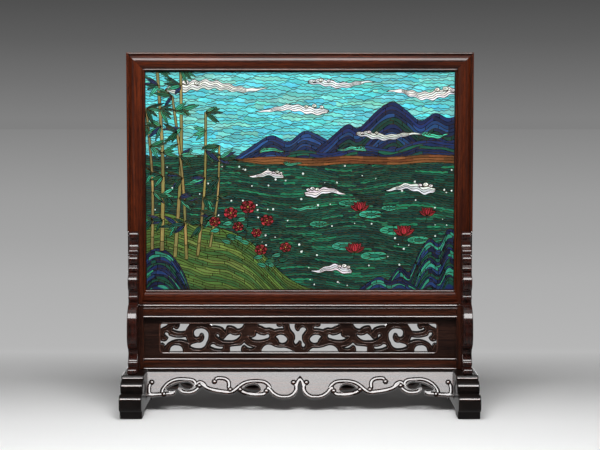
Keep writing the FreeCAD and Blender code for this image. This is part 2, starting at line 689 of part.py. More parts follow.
def build_waist_panel():
    board = new_body("waist_board")
    block(board, "Additive", "waist_slab", across(f"2 * {POST_INNER}"), across("waist_thick"),
          (WAIST_BOTTOM, WAIST_TOP))
    block(board, "Additive", "waist_tongues",
          across(f"2 * ({POST_INNER} + waist_tongue)"), across("waist_tongue_thick"),
          (WAIST_BOTTOM, WAIST_TOP))
    block(board, "Additive", "waist_edges",
          across(f"2 * {POST_INNER}"), across("waist_tongue_thick"),
          (f"{WAIST_BOTTOM} - waist_tongue", f"{WAIST_TOP} + waist_tongue"))
    for name, lift, reverse in (("front_well", "waist_thick / 2", False),
                                ("back_well", "-waist_thick / 2", True)):
        sketch = outline(board, name, "XZ_Plane", rounded_opening(), lift)
        sweep(board, "Pocket", sketch, "fret_sink", reverse=reverse)
    tall = f"{OPENING_TOP} - ({OPENING_BOTTOM})"
    rings = [(ring, side) for ring in FRET_SIDE_SHARES for side in (-1, 1)]
    rings += [(ring, -1) for ring in FRET_MIDDLE_SHARES]
    faces = [ring_face(ring, value(OPENING_X), value(tall), side, FRET_RISE_SHARE)
             for ring, side in rings]
    front = Vector(value("opening_shift"), -value("waist_thick"), value(OPENING_TOP))
    return pierced(board, "waist_panel", faces, front, Vector(0, 0, 1),
                   Vector(0, value("2 * waist_thick"), 0))


def build_post():
    body = new_body("post_right")
    block(body, "Additive", "post_lower", (POST_INNER, POST_OUTER), across("post_depth"),
          ("foot_height", SEAT))
    block(body, "Additive", "post_upper", (POST_STEP, POST_OUTER), across("post_depth"),
          ("foot_height", POST_TOP))
    block(body, "Additive", "post_tenon",
          (f"{SIDE} - post_tenon_width / 2", f"{SIDE} + post_tenon_width / 2"),
          across("post_tenon_depth"), ("foot_height - post_tenon_deep", SEAT))
    block(body, "Subtractive", "screen_groove",
          (f"{POST_STEP} - overrun", f"{STILE_FOOT} + screen_tongue + slide_gap"),
          across("screen_tongue_thick + 2 * slide_gap"), (SEAT, f"{POST_TOP} + overrun"))
    for name, low, height in (("upper", WAIST_TOP, "upper_rail_height"),
                              ("lower", "foot_height", "lower_rail_height")):
        block(body, "Subtractive", f"{name}_rail_mortise",
              (f"{POST_INNER} - overrun", f"{POST_INNER} + rail_tenon_deep + fit_gap"),
              across("rail_tenon_thick + 2 * fit_gap"),
              (f"{low} + rail_tenon_inset - fit_gap",
               f"{low} + {height} - rail_tenon_inset + fit_gap"))
    block(body, "Subtractive", "waist_slot",
          (f"{POST_INNER} - overrun", f"{POST_INNER} + waist_tongue + fit_gap"),
          across("waist_tongue_thick + 2 * fit_gap"), (WAIST_BOTTOM, WAIST_TOP))
    for name, side in (("front", "-"), ("back", "")):
        bead = f"{SEAT} - {RAIL_BEAD_SHARE} * upper_rail_height"
        corners = [(f"{side}post_depth / 2", bead, RAIL_BEAD_BOW_SHARE),
                   (f"{side}post_depth / 2", SEAT, 0),
                   (f"{side}(post_depth / 2 - rail_bead)", SEAT, 0),
                   (f"{side}(post_depth / 2 - rail_bead)", bead, 0)]
        sketch = outline(body, f"{name}_step_bead", "YZ_Plane", corners, POST_INNER)
        sweep(body, "Pad", sketch, "post_step")
    low, high = spandrel_tongue_z("fit_gap")
    inner = "(post_depth / 2 - tongue_deep - fit_gap)"
    outer = "(post_depth / 2 + overrun)"
    for name, y in (("front", (f"-{outer}", f"-{inner}")), ("back", (inner, outer))):
        block(body, "Subtractive", f"{name}_spandrel_slot", spandrel_core_x("fit_gap"), y,
              (low, high))
    return body


SPANDREL_HEIGHT = f"({POST_TOP} + spandrel_lip - foot_height)"


def spandrel_core_x(gap="0"):
    half = f"(tongue_thick / 2 + {gap})"
    return (f"{SPANDREL_X} - {half}", f"{SPANDREL_X} + {half}")


def spandrel_tongue_z(gap="0"):
    low, high = (f"foot_height + {share} * {SPANDREL_HEIGHT}" for share in SPANDREL_TONGUE_SHARES)
    return (f"{low} - {gap}", f"{high} + {gap}")


def spandrel_peg_y(gap="0"):
    near, far = (f"post_depth / 2 + {share} * spandrel_reach" for share in SPANDREL_PEG_SHARES)
    return (f"-({far} + {gap})", f"-({near} - {gap})")


def build_spandrel():
    body = new_body("spandrel_front_right")
    edge = [(f"-post_depth / 2 - {reach} * spandrel_reach",
             f"foot_height + {rise} * {SPANDREL_HEIGHT}", bow)
            for reach, rise, bow in SPANDREL_EDGE_SHARES]
    back = [("-post_depth / 2", f"foot_height + {SPANDREL_HEIGHT}", 0),
            ("-post_depth / 2", "foot_height", 0)]
    sketch = outline(body, "spandrel_outline", "YZ_Plane", edge + back,
                     f"{SPANDREL_X} - spandrel_thick / 2")
    sweep(body, "Pad", sketch, "spandrel_thick")
    block(body, "Additive", "spandrel_tongue", spandrel_core_x(),
          ("-post_depth / 2 - tongue_deep", "-post_depth / 2 + tongue_deep"), spandrel_tongue_z())
    block(body, "Additive", "spandrel_peg", spandrel_core_x(), spandrel_peg_y(),
          ("foot_height - peg_deep", "foot_height + tongue_deep"))
    return body


def build_foot():
    body = new_body("foot_right")
    front = [(f"-{reach} * foot_depth / 2", f"{rise} * foot_height", bow)
             for reach, rise, bow in FOOT_END_SHARES]
    back_bows = [bow for reach, rise, bow in FOOT_END_SHARES][-2::-1] + [0]
    back = [(f"{reach} * foot_depth / 2", f"{rise} * foot_height", bow)
            for (reach, rise, _), bow in zip(reversed(FOOT_END_SHARES), back_bows)]
    sketch = outline(body, "foot_outline", "YZ_Plane", front + back, FOOT_INNER)
    sweep(body, "Pad", sketch, "foot_width")
    block(body, "Subtractive", "post_mortise",
          (f"{SIDE} - post_tenon_width / 2 - fit_gap", f"{SIDE} + post_tenon_width / 2 + fit_gap"),
          across("post_tenon_depth + 2 * fit_gap"),
          ("foot_height - post_tenon_deep - panel_gap", "foot_height + overrun"))
    near, far = spandrel_peg_y("fit_gap")
    for name, y in (("front", (near, far)), ("back", (f"-({far})", f"-({near})"))):
        block(body, "Subtractive", f"{name}_peg_hole", spandrel_core_x("fit_gap"), y,
              ("foot_height - peg_deep - fit_gap", "foot_height + overrun"))
    for name, side in (("front", ""), ("back", "-")):
        corners = [(f"{side}({y})", z, bow) for y, z, bow in apron_section("fit_gap")]
        sketch = outline(body, f"{name}_apron_slot", "YZ_Plane", corners, FOOT_INNER)
        sweep(body, "Pocket", sketch, "apron_end + fit_gap", reverse=True)
    return body


def build_all():
    foot = build_foot()
    post = build_post()
    spandrel = build_spandrel()
    back_spandrel = mirrored(spandrel, "spandrel_back_right", FRONT_BACK)
    apron = build_apron()
    stile = build_stile()
    batten = build_batten()
    return [
        foot, mirrored(foot, "foot_left", LEFT_RIGHT),
        post, mirrored(post, "post_left", LEFT_RIGHT),
        spandrel, mirrored(spandrel, "spandrel_front_left", LEFT_RIGHT),
        back_spandrel, mirrored(back_spandrel, "spandrel_back_left", LEFT_RIGHT),
        build_upper_rail(), build_lower_rail(), build_waist_panel(),
        apron, mirrored(apron, "apron_back", FRONT_BACK),
        stile, mirrored(stile, "stile_left", LEFT_RIGHT),
        build_top_rail(), build_bottom_rail(),
        build_plaque(), build_enamel(), build_back_board(),
        batten, mirrored(batten, "batten_left", LEFT_RIGHT),
    ]


pieces = build_all()
doc.recompute()
for item in doc.Objects:
    if "Invalid" in item.State or "Error" in item.State:
        raise RuntimeError(f"{item.Name} did not build: {item.State}")
for piece in pieces:
    shape = piece.Shape
    if shape.isNull() or not shape.isValid() or len(shape.Solids) != 1:
        raise RuntimeError(f"{piece.Label} is not one sound solid")
    shape.exportStep(f"parts/{piece.Label}.step")
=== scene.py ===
"""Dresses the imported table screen: waxed hardwood, carved beads and a cloisonne panel."""

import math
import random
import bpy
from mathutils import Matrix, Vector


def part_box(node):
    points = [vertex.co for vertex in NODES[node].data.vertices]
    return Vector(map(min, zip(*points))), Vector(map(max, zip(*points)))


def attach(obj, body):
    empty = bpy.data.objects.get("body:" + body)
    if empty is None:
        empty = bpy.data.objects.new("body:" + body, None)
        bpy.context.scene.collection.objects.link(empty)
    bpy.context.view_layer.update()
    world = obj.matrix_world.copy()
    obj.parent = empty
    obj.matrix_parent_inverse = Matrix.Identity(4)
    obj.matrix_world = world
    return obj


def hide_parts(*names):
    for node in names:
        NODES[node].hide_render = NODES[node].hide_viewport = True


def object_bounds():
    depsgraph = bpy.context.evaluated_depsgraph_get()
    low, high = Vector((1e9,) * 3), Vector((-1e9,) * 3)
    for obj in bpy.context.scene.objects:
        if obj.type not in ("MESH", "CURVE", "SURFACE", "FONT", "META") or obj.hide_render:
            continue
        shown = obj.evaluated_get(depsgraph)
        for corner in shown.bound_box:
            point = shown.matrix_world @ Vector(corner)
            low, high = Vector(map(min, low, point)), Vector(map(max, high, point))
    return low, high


bl_info = {
    "name": "Table Screen",
    "version": (1, 0, 0),
    "blender": (4, 5, 0),
    "location": "View3D > Sidebar > Table Screen",
    "description": "Waxed hardwood stand and frame, carved beads and a cloisonne panel",
    "category": "Object",
}

import bmesh
import bpy
import numpy as np
from bpy.props import FloatProperty, FloatVectorProperty, IntProperty, PointerProperty
from mathutils import Matrix, Vector

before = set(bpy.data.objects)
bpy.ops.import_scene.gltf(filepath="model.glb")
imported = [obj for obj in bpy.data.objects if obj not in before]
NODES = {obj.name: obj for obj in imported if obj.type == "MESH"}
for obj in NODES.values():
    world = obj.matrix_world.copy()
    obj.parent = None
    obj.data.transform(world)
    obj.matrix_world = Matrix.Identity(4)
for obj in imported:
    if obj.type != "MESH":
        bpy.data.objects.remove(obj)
CAD_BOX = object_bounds()
MM = 0.001
SEED = 7

FEET = ("foot_left", "foot_right")
POSTS = ("post_left", "post_right")
SPANDRELS = ("spandrel_front_left", "spandrel_front_right", "spandrel_back_left", "spandrel_back_right")
APRONS = ("apron_front", "apron_back")
BATTENS = ("batten_left", "batten_right")
# Body and material slot of the stand's and the frame's pieces
ON_STAND = ("stand", "stand_wood")
ON_FRAME = ("screen", "frame_wood")
# Sides of the screen, and the way each faces along y
SIDES = (("front", -1), ("back", 1))
# Slack when places in a CAD mesh are compared
HAIR = 0.01 * MM
# Faces that meet flatter than the first angle are one face, edges sharper than the second are eased,
# and edges sharper than the third stay crisp in the shading.
FLAT_ANGLE, EASED_ANGLE, CRISP_ANGLE = (math.radians(angle) for angle in (1, 28, 50))
# Cosine of the angle within which a face counts as looking along a direction
ALIGNED = 0.9995
# Step of a bead along straight lines, in metres: longer than any of them, so that each is one stretch
STRAIGHT = 1


def linear(hex_colour):
    """sRGB hex colour as linear RGB."""
    channels = [int(hex_colour[i:i + 2], 16) / 255 for i in (1, 3, 5)]
    return tuple(c / 12.92 if c <= 0.04045 else ((c + 0.055) / 1.055) ** 2.4 for c in channels)


def add(tree, kind, inputs=None, stops=None, **settings):
    """Adds a node, sets its settings and ramp stops, and sets or links its inputs.

    An input given as a node is linked to that node's first output.
    """
    node = tree.nodes.new(kind)
    for name, value in settings.items():
        setattr(node, name, value)
    for key, value in (inputs or {}).items():
        if isinstance(value, bpy.types.Node):
            value = value.outputs[0]
        if isinstance(value, bpy.types.NodeSocket):
            tree.links.new(value, node.inputs[key])
        else:
            node.inputs[key].default_value = value
    for index, (place, colour) in enumerate(stops or ()):
        element = node.color_ramp.elements
        stop = element[index] if index < 2 else element.new(place)
        stop.position = place
        stop.color = (*colour, 1)
    return node


def maths(tree, operation, *values):
    """Adds a maths node."""
    return add(tree, "ShaderNodeMath", dict(enumerate(values)), operation=operation)


def new_material(name):
    """Material with an empty node tree."""
    material = bpy.data.materials.new(name)
    material.use_nodes = True
    tree = material.node_tree
    tree.nodes.clear()
    return material, tree


def patches(tree, width, detail):
    """Soft noise in patches of a given width."""
    place = add(tree, "ShaderNodeTexCoord").outputs["Object"]
    noise = add(tree, "ShaderNodeTexNoise", {"Vector": place, "Scale": 1 / width, "Detail": detail})
    return noise.outputs["Fac"]


# Materials


def waxed_hardwood(name, along, grain_tones, wax, polish, gloss):
    """Rosewood, planed, stained by age and waxed to a shine.

    The eye sees long dark pores and reddish streaks under a clear gloss. Streaks are about
    3 mm wide and 120 mm long; the pores, really 0.2 mm wide, are drawn 0.9 mm wide so that they show.
    """
    material, tree = new_material(name)
    place = add(tree, "ShaderNodeTexCoord").outputs["Object"]

    def grain(length, width, **look):
        """Noise drawn out along the grain."""
        scale = [1 / length if axis == along else 1 / width for axis in "XYZ"]
        spread = add(tree, "ShaderNodeMapping", {"Vector": place, "Scale": scale})
        return add(tree, "ShaderNodeTexNoise", {"Vector": spread, "Scale": 1, **look}).outputs["Fac"]

    full = (1, 1, 1)
    streaks = grain(120 * MM, 3 * MM, Detail=6, Roughness=0.62, Distortion=0.35)
    bands = grain(260 * MM, 21 * MM, Detail=2, Distortion=0.6)
    pores = grain(14 * MM, 0.9 * MM, Detail=3)
    streak_tone = add(tree, "ShaderNodeValToRGB", {"Fac": streaks}, zip((0.3, 0.5, 0.72), grain_tones))
    band_tone = add(tree, "ShaderNodeValToRGB", {"Fac": bands}, ((0.36, (0.5, 0.46, 0.44)), (0.66, full)))
    pore_tone = add(tree, "ShaderNodeValToRGB", {"Fac": pores}, ((0.4, (0.5, 0.48, 0.47)), (0.5, full)))
    banded = add(tree, "ShaderNodeVectorMath", {0: streak_tone, 1: band_tone}, operation="MULTIPLY")
    wood = add(tree, "ShaderNodeVectorMath", {0: banded, 1: pore_tone}, operation="MULTIPLY")
    shine = add(tree, "ShaderNodeMapRange", {"Value": streaks, "To Min": 0.42, "To Max": 0.58})
    pitted = add(tree, "ShaderNodeBump", {"Height": pore_tone, "Strength": 0.08, "Distance": 0.3 * MM})
    rubbed = add(tree, "ShaderNodeBump", {"Height": streaks, "Strength": 0.05, "Distance": 0.6 * MM})
    surface = add(tree, "ShaderNodeBsdfPrincipled", {
        "Base Color": wood, "Roughness": shine, "Normal": pitted, "IOR": 1.5, "Specular IOR Level": 0.1,
        "Coat Weight": polish, "Coat Roughness": wax, "Coat IOR": gloss, "Coat Normal": rubbed})
    add(tree, "ShaderNodeOutputMaterial", {"Surface": surface})
    return material


def painted_groove_shade():
    """Painted shade: a dull near-black strip laid in the grooves and quirks beside carved beads, where they
    lie in shade.

    The eye sees a dull near-black line, a little uneven over 5 mm.
    """
    material, tree = new_material("painted_groove_shade")
    tone = add(tree, "ShaderNodeValToRGB", {"Fac": patches(tree, 5 * MM, 3)},
               ((0.3, linear("#0a0706")), (0.7, linear("#1d1512"))))
    surface = add(tree, "ShaderNodeBsdfPrincipled", {
        "Base Color": tone, "Roughness": 0.8, "Specular IOR Level": 0.1})
    add(tree, "ShaderNodeOutputMaterial", {"Surface": surface})
    return material


def fired_enamel():
    """Vitreous enamel, fired in the cells and ground flush.

    The eye sees a glassy colour that clouds a little within each cell, with fine pits left by
    gas bubbles; the pits, really 0.3 mm, are drawn 0.8 mm wide so that they show.
    """
    material, tree = new_material("fired_enamel")
    place = add(tree, "ShaderNodeTexCoord").outputs["Object"]
    colour = add(tree, "ShaderNodeAttribute", attribute_name="cell_colour").outputs["Color"]
    clouded = add(tree, "ShaderNodeMapRange", {
        "Value": patches(tree, 9 * MM, 4), "From Min": 0.3, "From Max": 0.7, "To Min": 0.78, "To Max": 1.18})
    pits = add(tree, "ShaderNodeTexVoronoi", {"Vector": place, "Scale": 1 / (3.5 * MM)}).outputs["Distance"]
    pitted = add(tree, "ShaderNodeMapRange", {
        "Value": pits, "From Min": 0.08, "From Max": 0.14, "To Min": 0.4, "To Max": 1})
    strength = maths(tree, "MULTIPLY", clouded, pitted)
    shaded = add(tree, "ShaderNodeVectorMath", {0: colour, "Scale": strength}, operation="SCALE")
    bump = add(tree, "ShaderNodeBump", {"Height": strength, "Strength": 0.1, "Distance": 0.2 * MM})
    surface = add(tree, "ShaderNodeBsdfPrincipled", {
        "Base Color": shaded, "Roughness": 0.34, "IOR": 1.52, "Normal": bump})
    add(tree, "ShaderNodeOutputMaterial", {"Surface": surface})
    return material


def clouded_enamel(name, dark, light, patch):
    """Vitreous enamel of one colour, fired and ground flush.

    The eye sees a glassy colour that clouds a little over a few millimetres.
    """
    material, tree = new_material(name)
    tone = add(tree, "ShaderNodeValToRGB", {"Fac": patches(tree, patch, 4)},
               ((0.3, linear(dark)), (0.7, linear(light))))
    surface = add(tree, "ShaderNodeBsdfPrincipled", {"Base Color": tone, "Roughness": 0.34, "IOR": 1.52})
    add(tree, "ShaderNodeOutputMaterial", {"Surface": surface})
    return material


def aged_metal(name, bright, dull, roughness):
    """Copper alloy, drawn or beaten, then tarnished.

    The eye sees a warm metal whose brown tarnish lies in patches about 6 mm wide.
    """
    material, tree = new_material(name)
    tarnish = patches(tree, 6 * MM, 5)
    colour = add(tree, "ShaderNodeValToRGB", {"Fac": tarnish}, ((0.38, dull), (0.64, bright)))
    rough = add(tree, "ShaderNodeMapRange", {
        "Value": tarnish, "To Min": roughness + 0.12, "To Max": roughness - 0.08})
    surface = add(tree, "ShaderNodeBsdfPrincipled", {
        "Base Color": colour, "Metallic": 1, "Roughness": rough})
    add(tree, "ShaderNodeOutputMaterial", {"Surface": surface})
    return material


# Geometry Nodes


def new_tree(name, source, sizes):
    """Geometry Nodes tree with a named source, named sizes and a material; gives its inputs too."""
    tree = bpy.data.node_groups.new(name, "GeometryNodeTree")
    for label, kind in ((source, "Geometry"), *sizes, ("Material", "Material")):
        tree.interface.new_socket(label, in_out="INPUT", socket_type=f"NodeSocket{kind}")
    tree.interface.new_socket("Mesh", in_out="OUTPUT", socket_type="NodeSocketGeometry")
    return tree, add(tree, "NodeGroupInput").outputs


def end_tree(tree, shape, material):
    """Ends a tree in a smooth real mesh of one material."""
    smooth = add(tree, "GeometryNodeSetShadeSmooth", {"Geometry": shape})
    real = add(tree, "GeometryNodeRealizeInstances", {"Geometry": smooth})
    finish = add(tree, "GeometryNodeSetMaterial", {"Geometry": real, "Material": material})
    add(tree, "NodeGroupOutput", {"Mesh": finish})
    return tree


def bead_tree():
    """Domed bead swept along curves that lie flat, thick or thin by the curve's own radius."""
    tree, given = new_tree("bead_along_curve", "Curve", (
        ("Radius", "Float"), ("Height", "Float"), ("Step", "Float"), ("Sides", "Int")))
    even = add(tree, "GeometryNodeResampleCurve", {"Curve": given["Curve"], "Length": given["Step"]},
               mode="LENGTH")
    level = add(tree, "GeometryNodeSetCurveNormal", {"Curve": even}, mode="Z_UP")
    circle = add(tree, "GeometryNodeCurvePrimitiveCircle", {"Resolution": given["Sides"], "Radius": 1.0})
    spread = add(tree, "ShaderNodeCombineXYZ", {
        "X": given["Radius"], "Y": given["Height"], "Z": given["Radius"]})
    section = add(tree, "GeometryNodeTransform", {"Geometry": circle, "Scale": spread})
    thickness = add(tree, "GeometryNodeInputRadius")
    swept = add(tree, "GeometryNodeCurveToMesh", {
        "Curve": level, "Profile Curve": section, "Scale": thickness, "Fill Caps": True})
    return end_tree(tree, swept, given["Material"])


def drop_tree():
    """Round drop on every point, flattened upwards and sized by the point's own drop_size."""
    tree, given = new_tree("drops_on_points", "Points", (("Height Share", "Float"),))
    drop = add(tree, "GeometryNodeMeshUVSphere", {"Segments": 10, "Rings": 6, "Radius": 1.0})
    named = add(tree, "GeometryNodeInputNamedAttribute", {"Name": "drop_size"}, data_type="FLOAT")
    size = named.outputs["Attribute"]
    depth = maths(tree, "MULTIPLY", size, given["Height Share"])
    scale = add(tree, "ShaderNodeCombineXYZ", {"X": size, "Y": size, "Z": depth})
    points = add(tree, "GeometryNodeMeshToPoints", {"Mesh": given["Points"]})
    set_on = add(tree, "GeometryNodeInstanceOnPoints", {"Points": points, "Instance": drop, "Scale": scale})
    return end_tree(tree, set_on, given["Material"])


def grown(name, source, tree, values):
    """Plain mesh object that a node tree makes from a source object, which is removed."""
    modifier = source.modifiers.new(tree.name, "NODES")
    modifier.node_group = tree
    for item in tree.interface.items_tree:
        if item.item_type == "SOCKET" and item.in_out == "INPUT" and item.name in values:
            modifier[item.identifier] = values[item.name]
    graph = bpy.context.evaluated_depsgraph_get()
    mesh = bpy.data.meshes.new_from_object(source.evaluated_get(graph), depsgraph=graph)
    mesh.name = name
    bpy.data.objects.remove(source)
    return linked(name, mesh)


def linked(name, data):
    """Object in the scene that holds some data."""
    obj = bpy.data.objects.new(name, data)
    bpy.context.scene.collection.objects.link(obj)
    return obj


def plane_at(origin, normal, across=(1, 0, 0)):
    """Matrix of a flat frame: x across, z along the normal."""
    normal = Vector(normal).normalized()
    across = Vector(across).normalized()
    axes = Matrix((across, normal.cross(across), normal)).transposed().to_4x4()
    return Matrix.Translation(origin) @ axes


def beads(name, lines, plane, size, material, body, slot):
    """Bead piece along lines on a plane; size is (radius, height, step, sides).

    Each line is (points, closed) or (points, closed, thickness shares).
    """
    flatten = plane.inverted()
    curve = bpy.data.curves.new(f"{name}_paths", "CURVE")
    curve.dimensions = "3D"
    for points, closed, *shares in lines:
        spline = curve.splines.new("POLY")
        spline.points.add(len(points) - 1)
        spline.points.foreach_set("co", [c for p in points for c in (*(flatten @ Vector(p)), 1)])
        spline.points.foreach_set("radius", shares[0] if shares else [1.0] * len(points))
        spline.use_cyclic_u = closed
    source = linked(f"{name}_paths", curve)
    values = dict(zip(("Radius", "Height", "Step", "Sides"), size), Material=material)
    obj = grown(name, source, bpy.data.node_groups.get("bead_along_curve") or bead_tree(), values)
    obj.data.transform(plane)
    bpy.data.curves.remove(curve)
    carried(obj, body)


def drops(name, spots, plane, share, material, body, slot):
    """Round drops on a plane; a spot is (point, radius) and share is the height for that radius."""
    flatten = plane.inverted()
    mesh = bpy.data.meshes.new(f"{name}_points")
    mesh.from_pydata([flatten @ Vector(point) for point, _ in spots], [], [])
    sizes = mesh.attributes.new("drop_size", "FLOAT", "POINT")
    sizes.data.foreach_set("value", [radius for _, radius in spots])
    tree = bpy.data.node_groups.get("drops_on_points") or drop_tree()
    obj = grown(name, linked(f"{name}_points", mesh), tree, {"Height Share": share, "Material": material})
    obj.data.transform(plane)
    bpy.data.meshes.remove(mesh)
    carried(obj, body)


def carried(obj, body):
    """Lets an object ride on a body."""
    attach(obj, body)


# Wood pieces


def merged(node):
    """Joined copy of a CAD node's triangles."""
    work = bmesh.new()
    work.from_mesh(NODES[node].data)
    bmesh.ops.remove_doubles(work, verts=work.verts, dist=HAIR / 2)
    return work


def eased(node, arris, material, body, slot):
    """Copy of a CAD node whose sharp outer edges are rounded, shown in its place."""
    work = merged(node)
    bmesh.ops.dissolve_limit(work, angle_limit=FLAT_ANGLE, verts=work.verts, edges=work.edges)
    sharp = [e for e in work.edges if e.is_manifold and e.is_convex and e.calc_face_angle() > EASED_ANGLE]
    bmesh.ops.bevel(work, geom=sharp, offset=arris, segments=2, profile=0.5, affect="EDGES",
                    clamp_overlap=False)
    bmesh.ops.triangulate(work, faces=[f for f in work.faces if len(f.verts) > 4])
    mesh = bpy.data.meshes.new(f"{node}_eased")
    work.to_mesh(mesh)
    work.free()
    mesh.shade_smooth()
    mesh.set_sharp_from_angle(angle=CRISP_ANGLE)
    obj = linked(f"{node}_eased", mesh)
    weighted = obj.modifiers.new("even_shading", "WEIGHTED_NORMAL")
    weighted.keep_sharp = True
    graph = bpy.context.evaluated_depsgraph_get()
    obj.data = bpy.data.meshes.new_from_object(obj.evaluated_get(graph), depsgraph=graph)
    obj.modifiers.clear()
    bpy.data.meshes.remove(mesh)
    obj.data.name = obj.name
    obj.data.materials.clear()
    obj.data.materials.append(material)
    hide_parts(node)
    carried(obj, body)


def stained(nodes, material):
    """Gives CAD nodes a material of their own."""
    for node in nodes:
        NODES[node].data.materials.clear()
        NODES[node].data.materials.append(material)


def plane_loops(node, normal, depth=None):
    """Edge loops of a node's flat faces that look along normal, with the wood on their left.

    The faces are those at a depth along the normal, or the outermost ones. Gives the loops and the
    unit normal.
    """
    work = merged(node)
    normal = Vector(normal).normalized()
    facing = [f for f in work.faces if f.normal.dot(normal) > ALIGNED]
    if depth is None:
        depth = max(f.verts[0].co.dot(normal) for f in facing)
    flat = [f for f in facing if abs(f.verts[0].co.dot(normal) - depth) < 5 * HAIR]
    among = set(flat)
    follows = {}
    for f in flat:
        for corner in f.loops:
            if sum(g in among for g in corner.edge.link_faces) == 1:
                follows.setdefault(corner.vert.index, []).append(corner.link_loop_next.vert.index)
    places = [v.co.copy() for v in work.verts]
    work.free()
    loops = []
    while follows:
        start = next(iter(follows))
        loop = [start]
        while loop[-1] in follows:
            ends = follows[loop[-1]]
            following = ends.pop()
            if not ends:
                del follows[loop[-1]]
            if following == start:
                break
            loop.append(following)
        loops.append([places[i] for i in loop])
    return loops, normal


def inset(loop, normal, distance):
    """Closed loop moved sideways into the wood, without long spikes at its sharp corners."""
    fold, sharpest = 0.2, 0.6
    moved = []
    for before, here, after in zip(loop[-1:] + loop[:-1], loop, loop[1:] + loop[:1]):
        sides = [normal.cross((b - a).normalized()) for a, b in ((before, here), (here, after))]
        side = sides[0] + sides[1]
        if side.length < fold:
            side = sides[0]
        side.normalize()
        moved.append(here + side * (distance / max(sharpest, side.dot(sides[0]))))
    return moved


def kept_runs(loop, keep):
    """Stretches of a closed loop whose points are flagged in keep: (points, closed)."""
    if all(keep):
        return [(loop, True)]
    if not any(keep):
        return []
    start = keep.index(False)
    runs, run = [], []
    for i in range(len(loop) + 1):
        k = (start + i) % len(loop)
        if keep[k] and i < len(loop):
            run.append(loop[k])
        elif run:
            if len(run) > 2:
                runs.append((run, False))
            run = []
    return runs


def worn_way(way):
    """Direction that the worn flats of the front (-1) or the back (1) face."""
    tilt = bpy.context.scene.screen_sizes.flat_tilt
    return Vector((0, way * math.cos(tilt), math.sin(tilt)))


def rubbed_flats(name, node, edges, way, body, slot):
    """Narrow flats that polishing has worn along a node's straight beads, in the beads' lighter wood, a
    painted highlight.

    An edge is (low z, high z, half length) of a bead. Its flat lies where the bead's curve faces the
    worn way, and stays under the top of the CAD model.
    """
    normal = worn_way(way)
    widest = bpy.context.scene.screen_sizes.flat_width
    for number, (low, high, half) in enumerate(edges):
        thick = high - low
        reach = max(p.co.y * way for p in NODES[node].data.vertices if low - HAIR < p.co.z < high + HAIR)
        bend = 0.55 * thick
        width = min(widest, 0.6 * thick) / 2
        y = way * (reach - bend) + bend * normal.y
        z = min((low + high) / 2 + bend * normal.z, CAD_BOX[1].z - width * abs(normal.y))
        beads(f"{name}_{number}", [([(-half, y, z), (half, y, z)], False)], plane_at((0, y, z), normal),
              (width, width * 0.1, half, 10), polished_wood(), body, slot)


# Lines of the enamel picture, in millimetres across from its left edge and down from its top


def smooth_line(points, steps):
    """Smooth line through points, with a number of steps from each to the next."""
    given = [np.array(p, float) for p in points]
    line = []
    for i, (b, c) in enumerate(zip(given, given[1:])):
        a = given[i - 1] if i else b
        d = given[i + 2] if i + 2 < len(given) else c
        for step in range(steps):
            t = step / steps
            line.append(0.5 * (2 * b + (c - a) * t + (2 * a - 5 * b + 4 * c - d) * t * t
                               + (3 * b - a - 3 * c + d) * t ** 3))
    return line + given[-1:]


def inside(points, outline):
    """Which points lie inside a closed outline."""
    x, y = points[:, 0], points[:, 1]
    within = np.zeros(len(points), bool)
    low, high = outline.min(0), outline.max(0)
    near = (x >= low[0]) & (x <= high[0]) & (y >= low[1]) & (y <= high[1])
    if not near.any():
        return within
    x, y = x[near], y[near]
    odd = np.zeros(len(x), bool)
    for a, b in zip(outline, np.roll(outline, -1, 0)):
        crosses = (a[1] > y) != (b[1] > y)
        if crosses.any():
            odd ^= crosses & (x < (b[0] - a[0]) * (y - a[1]) / (b[1] - a[1] + 1e-12) + a[0])
    within[near] = odd
    return within


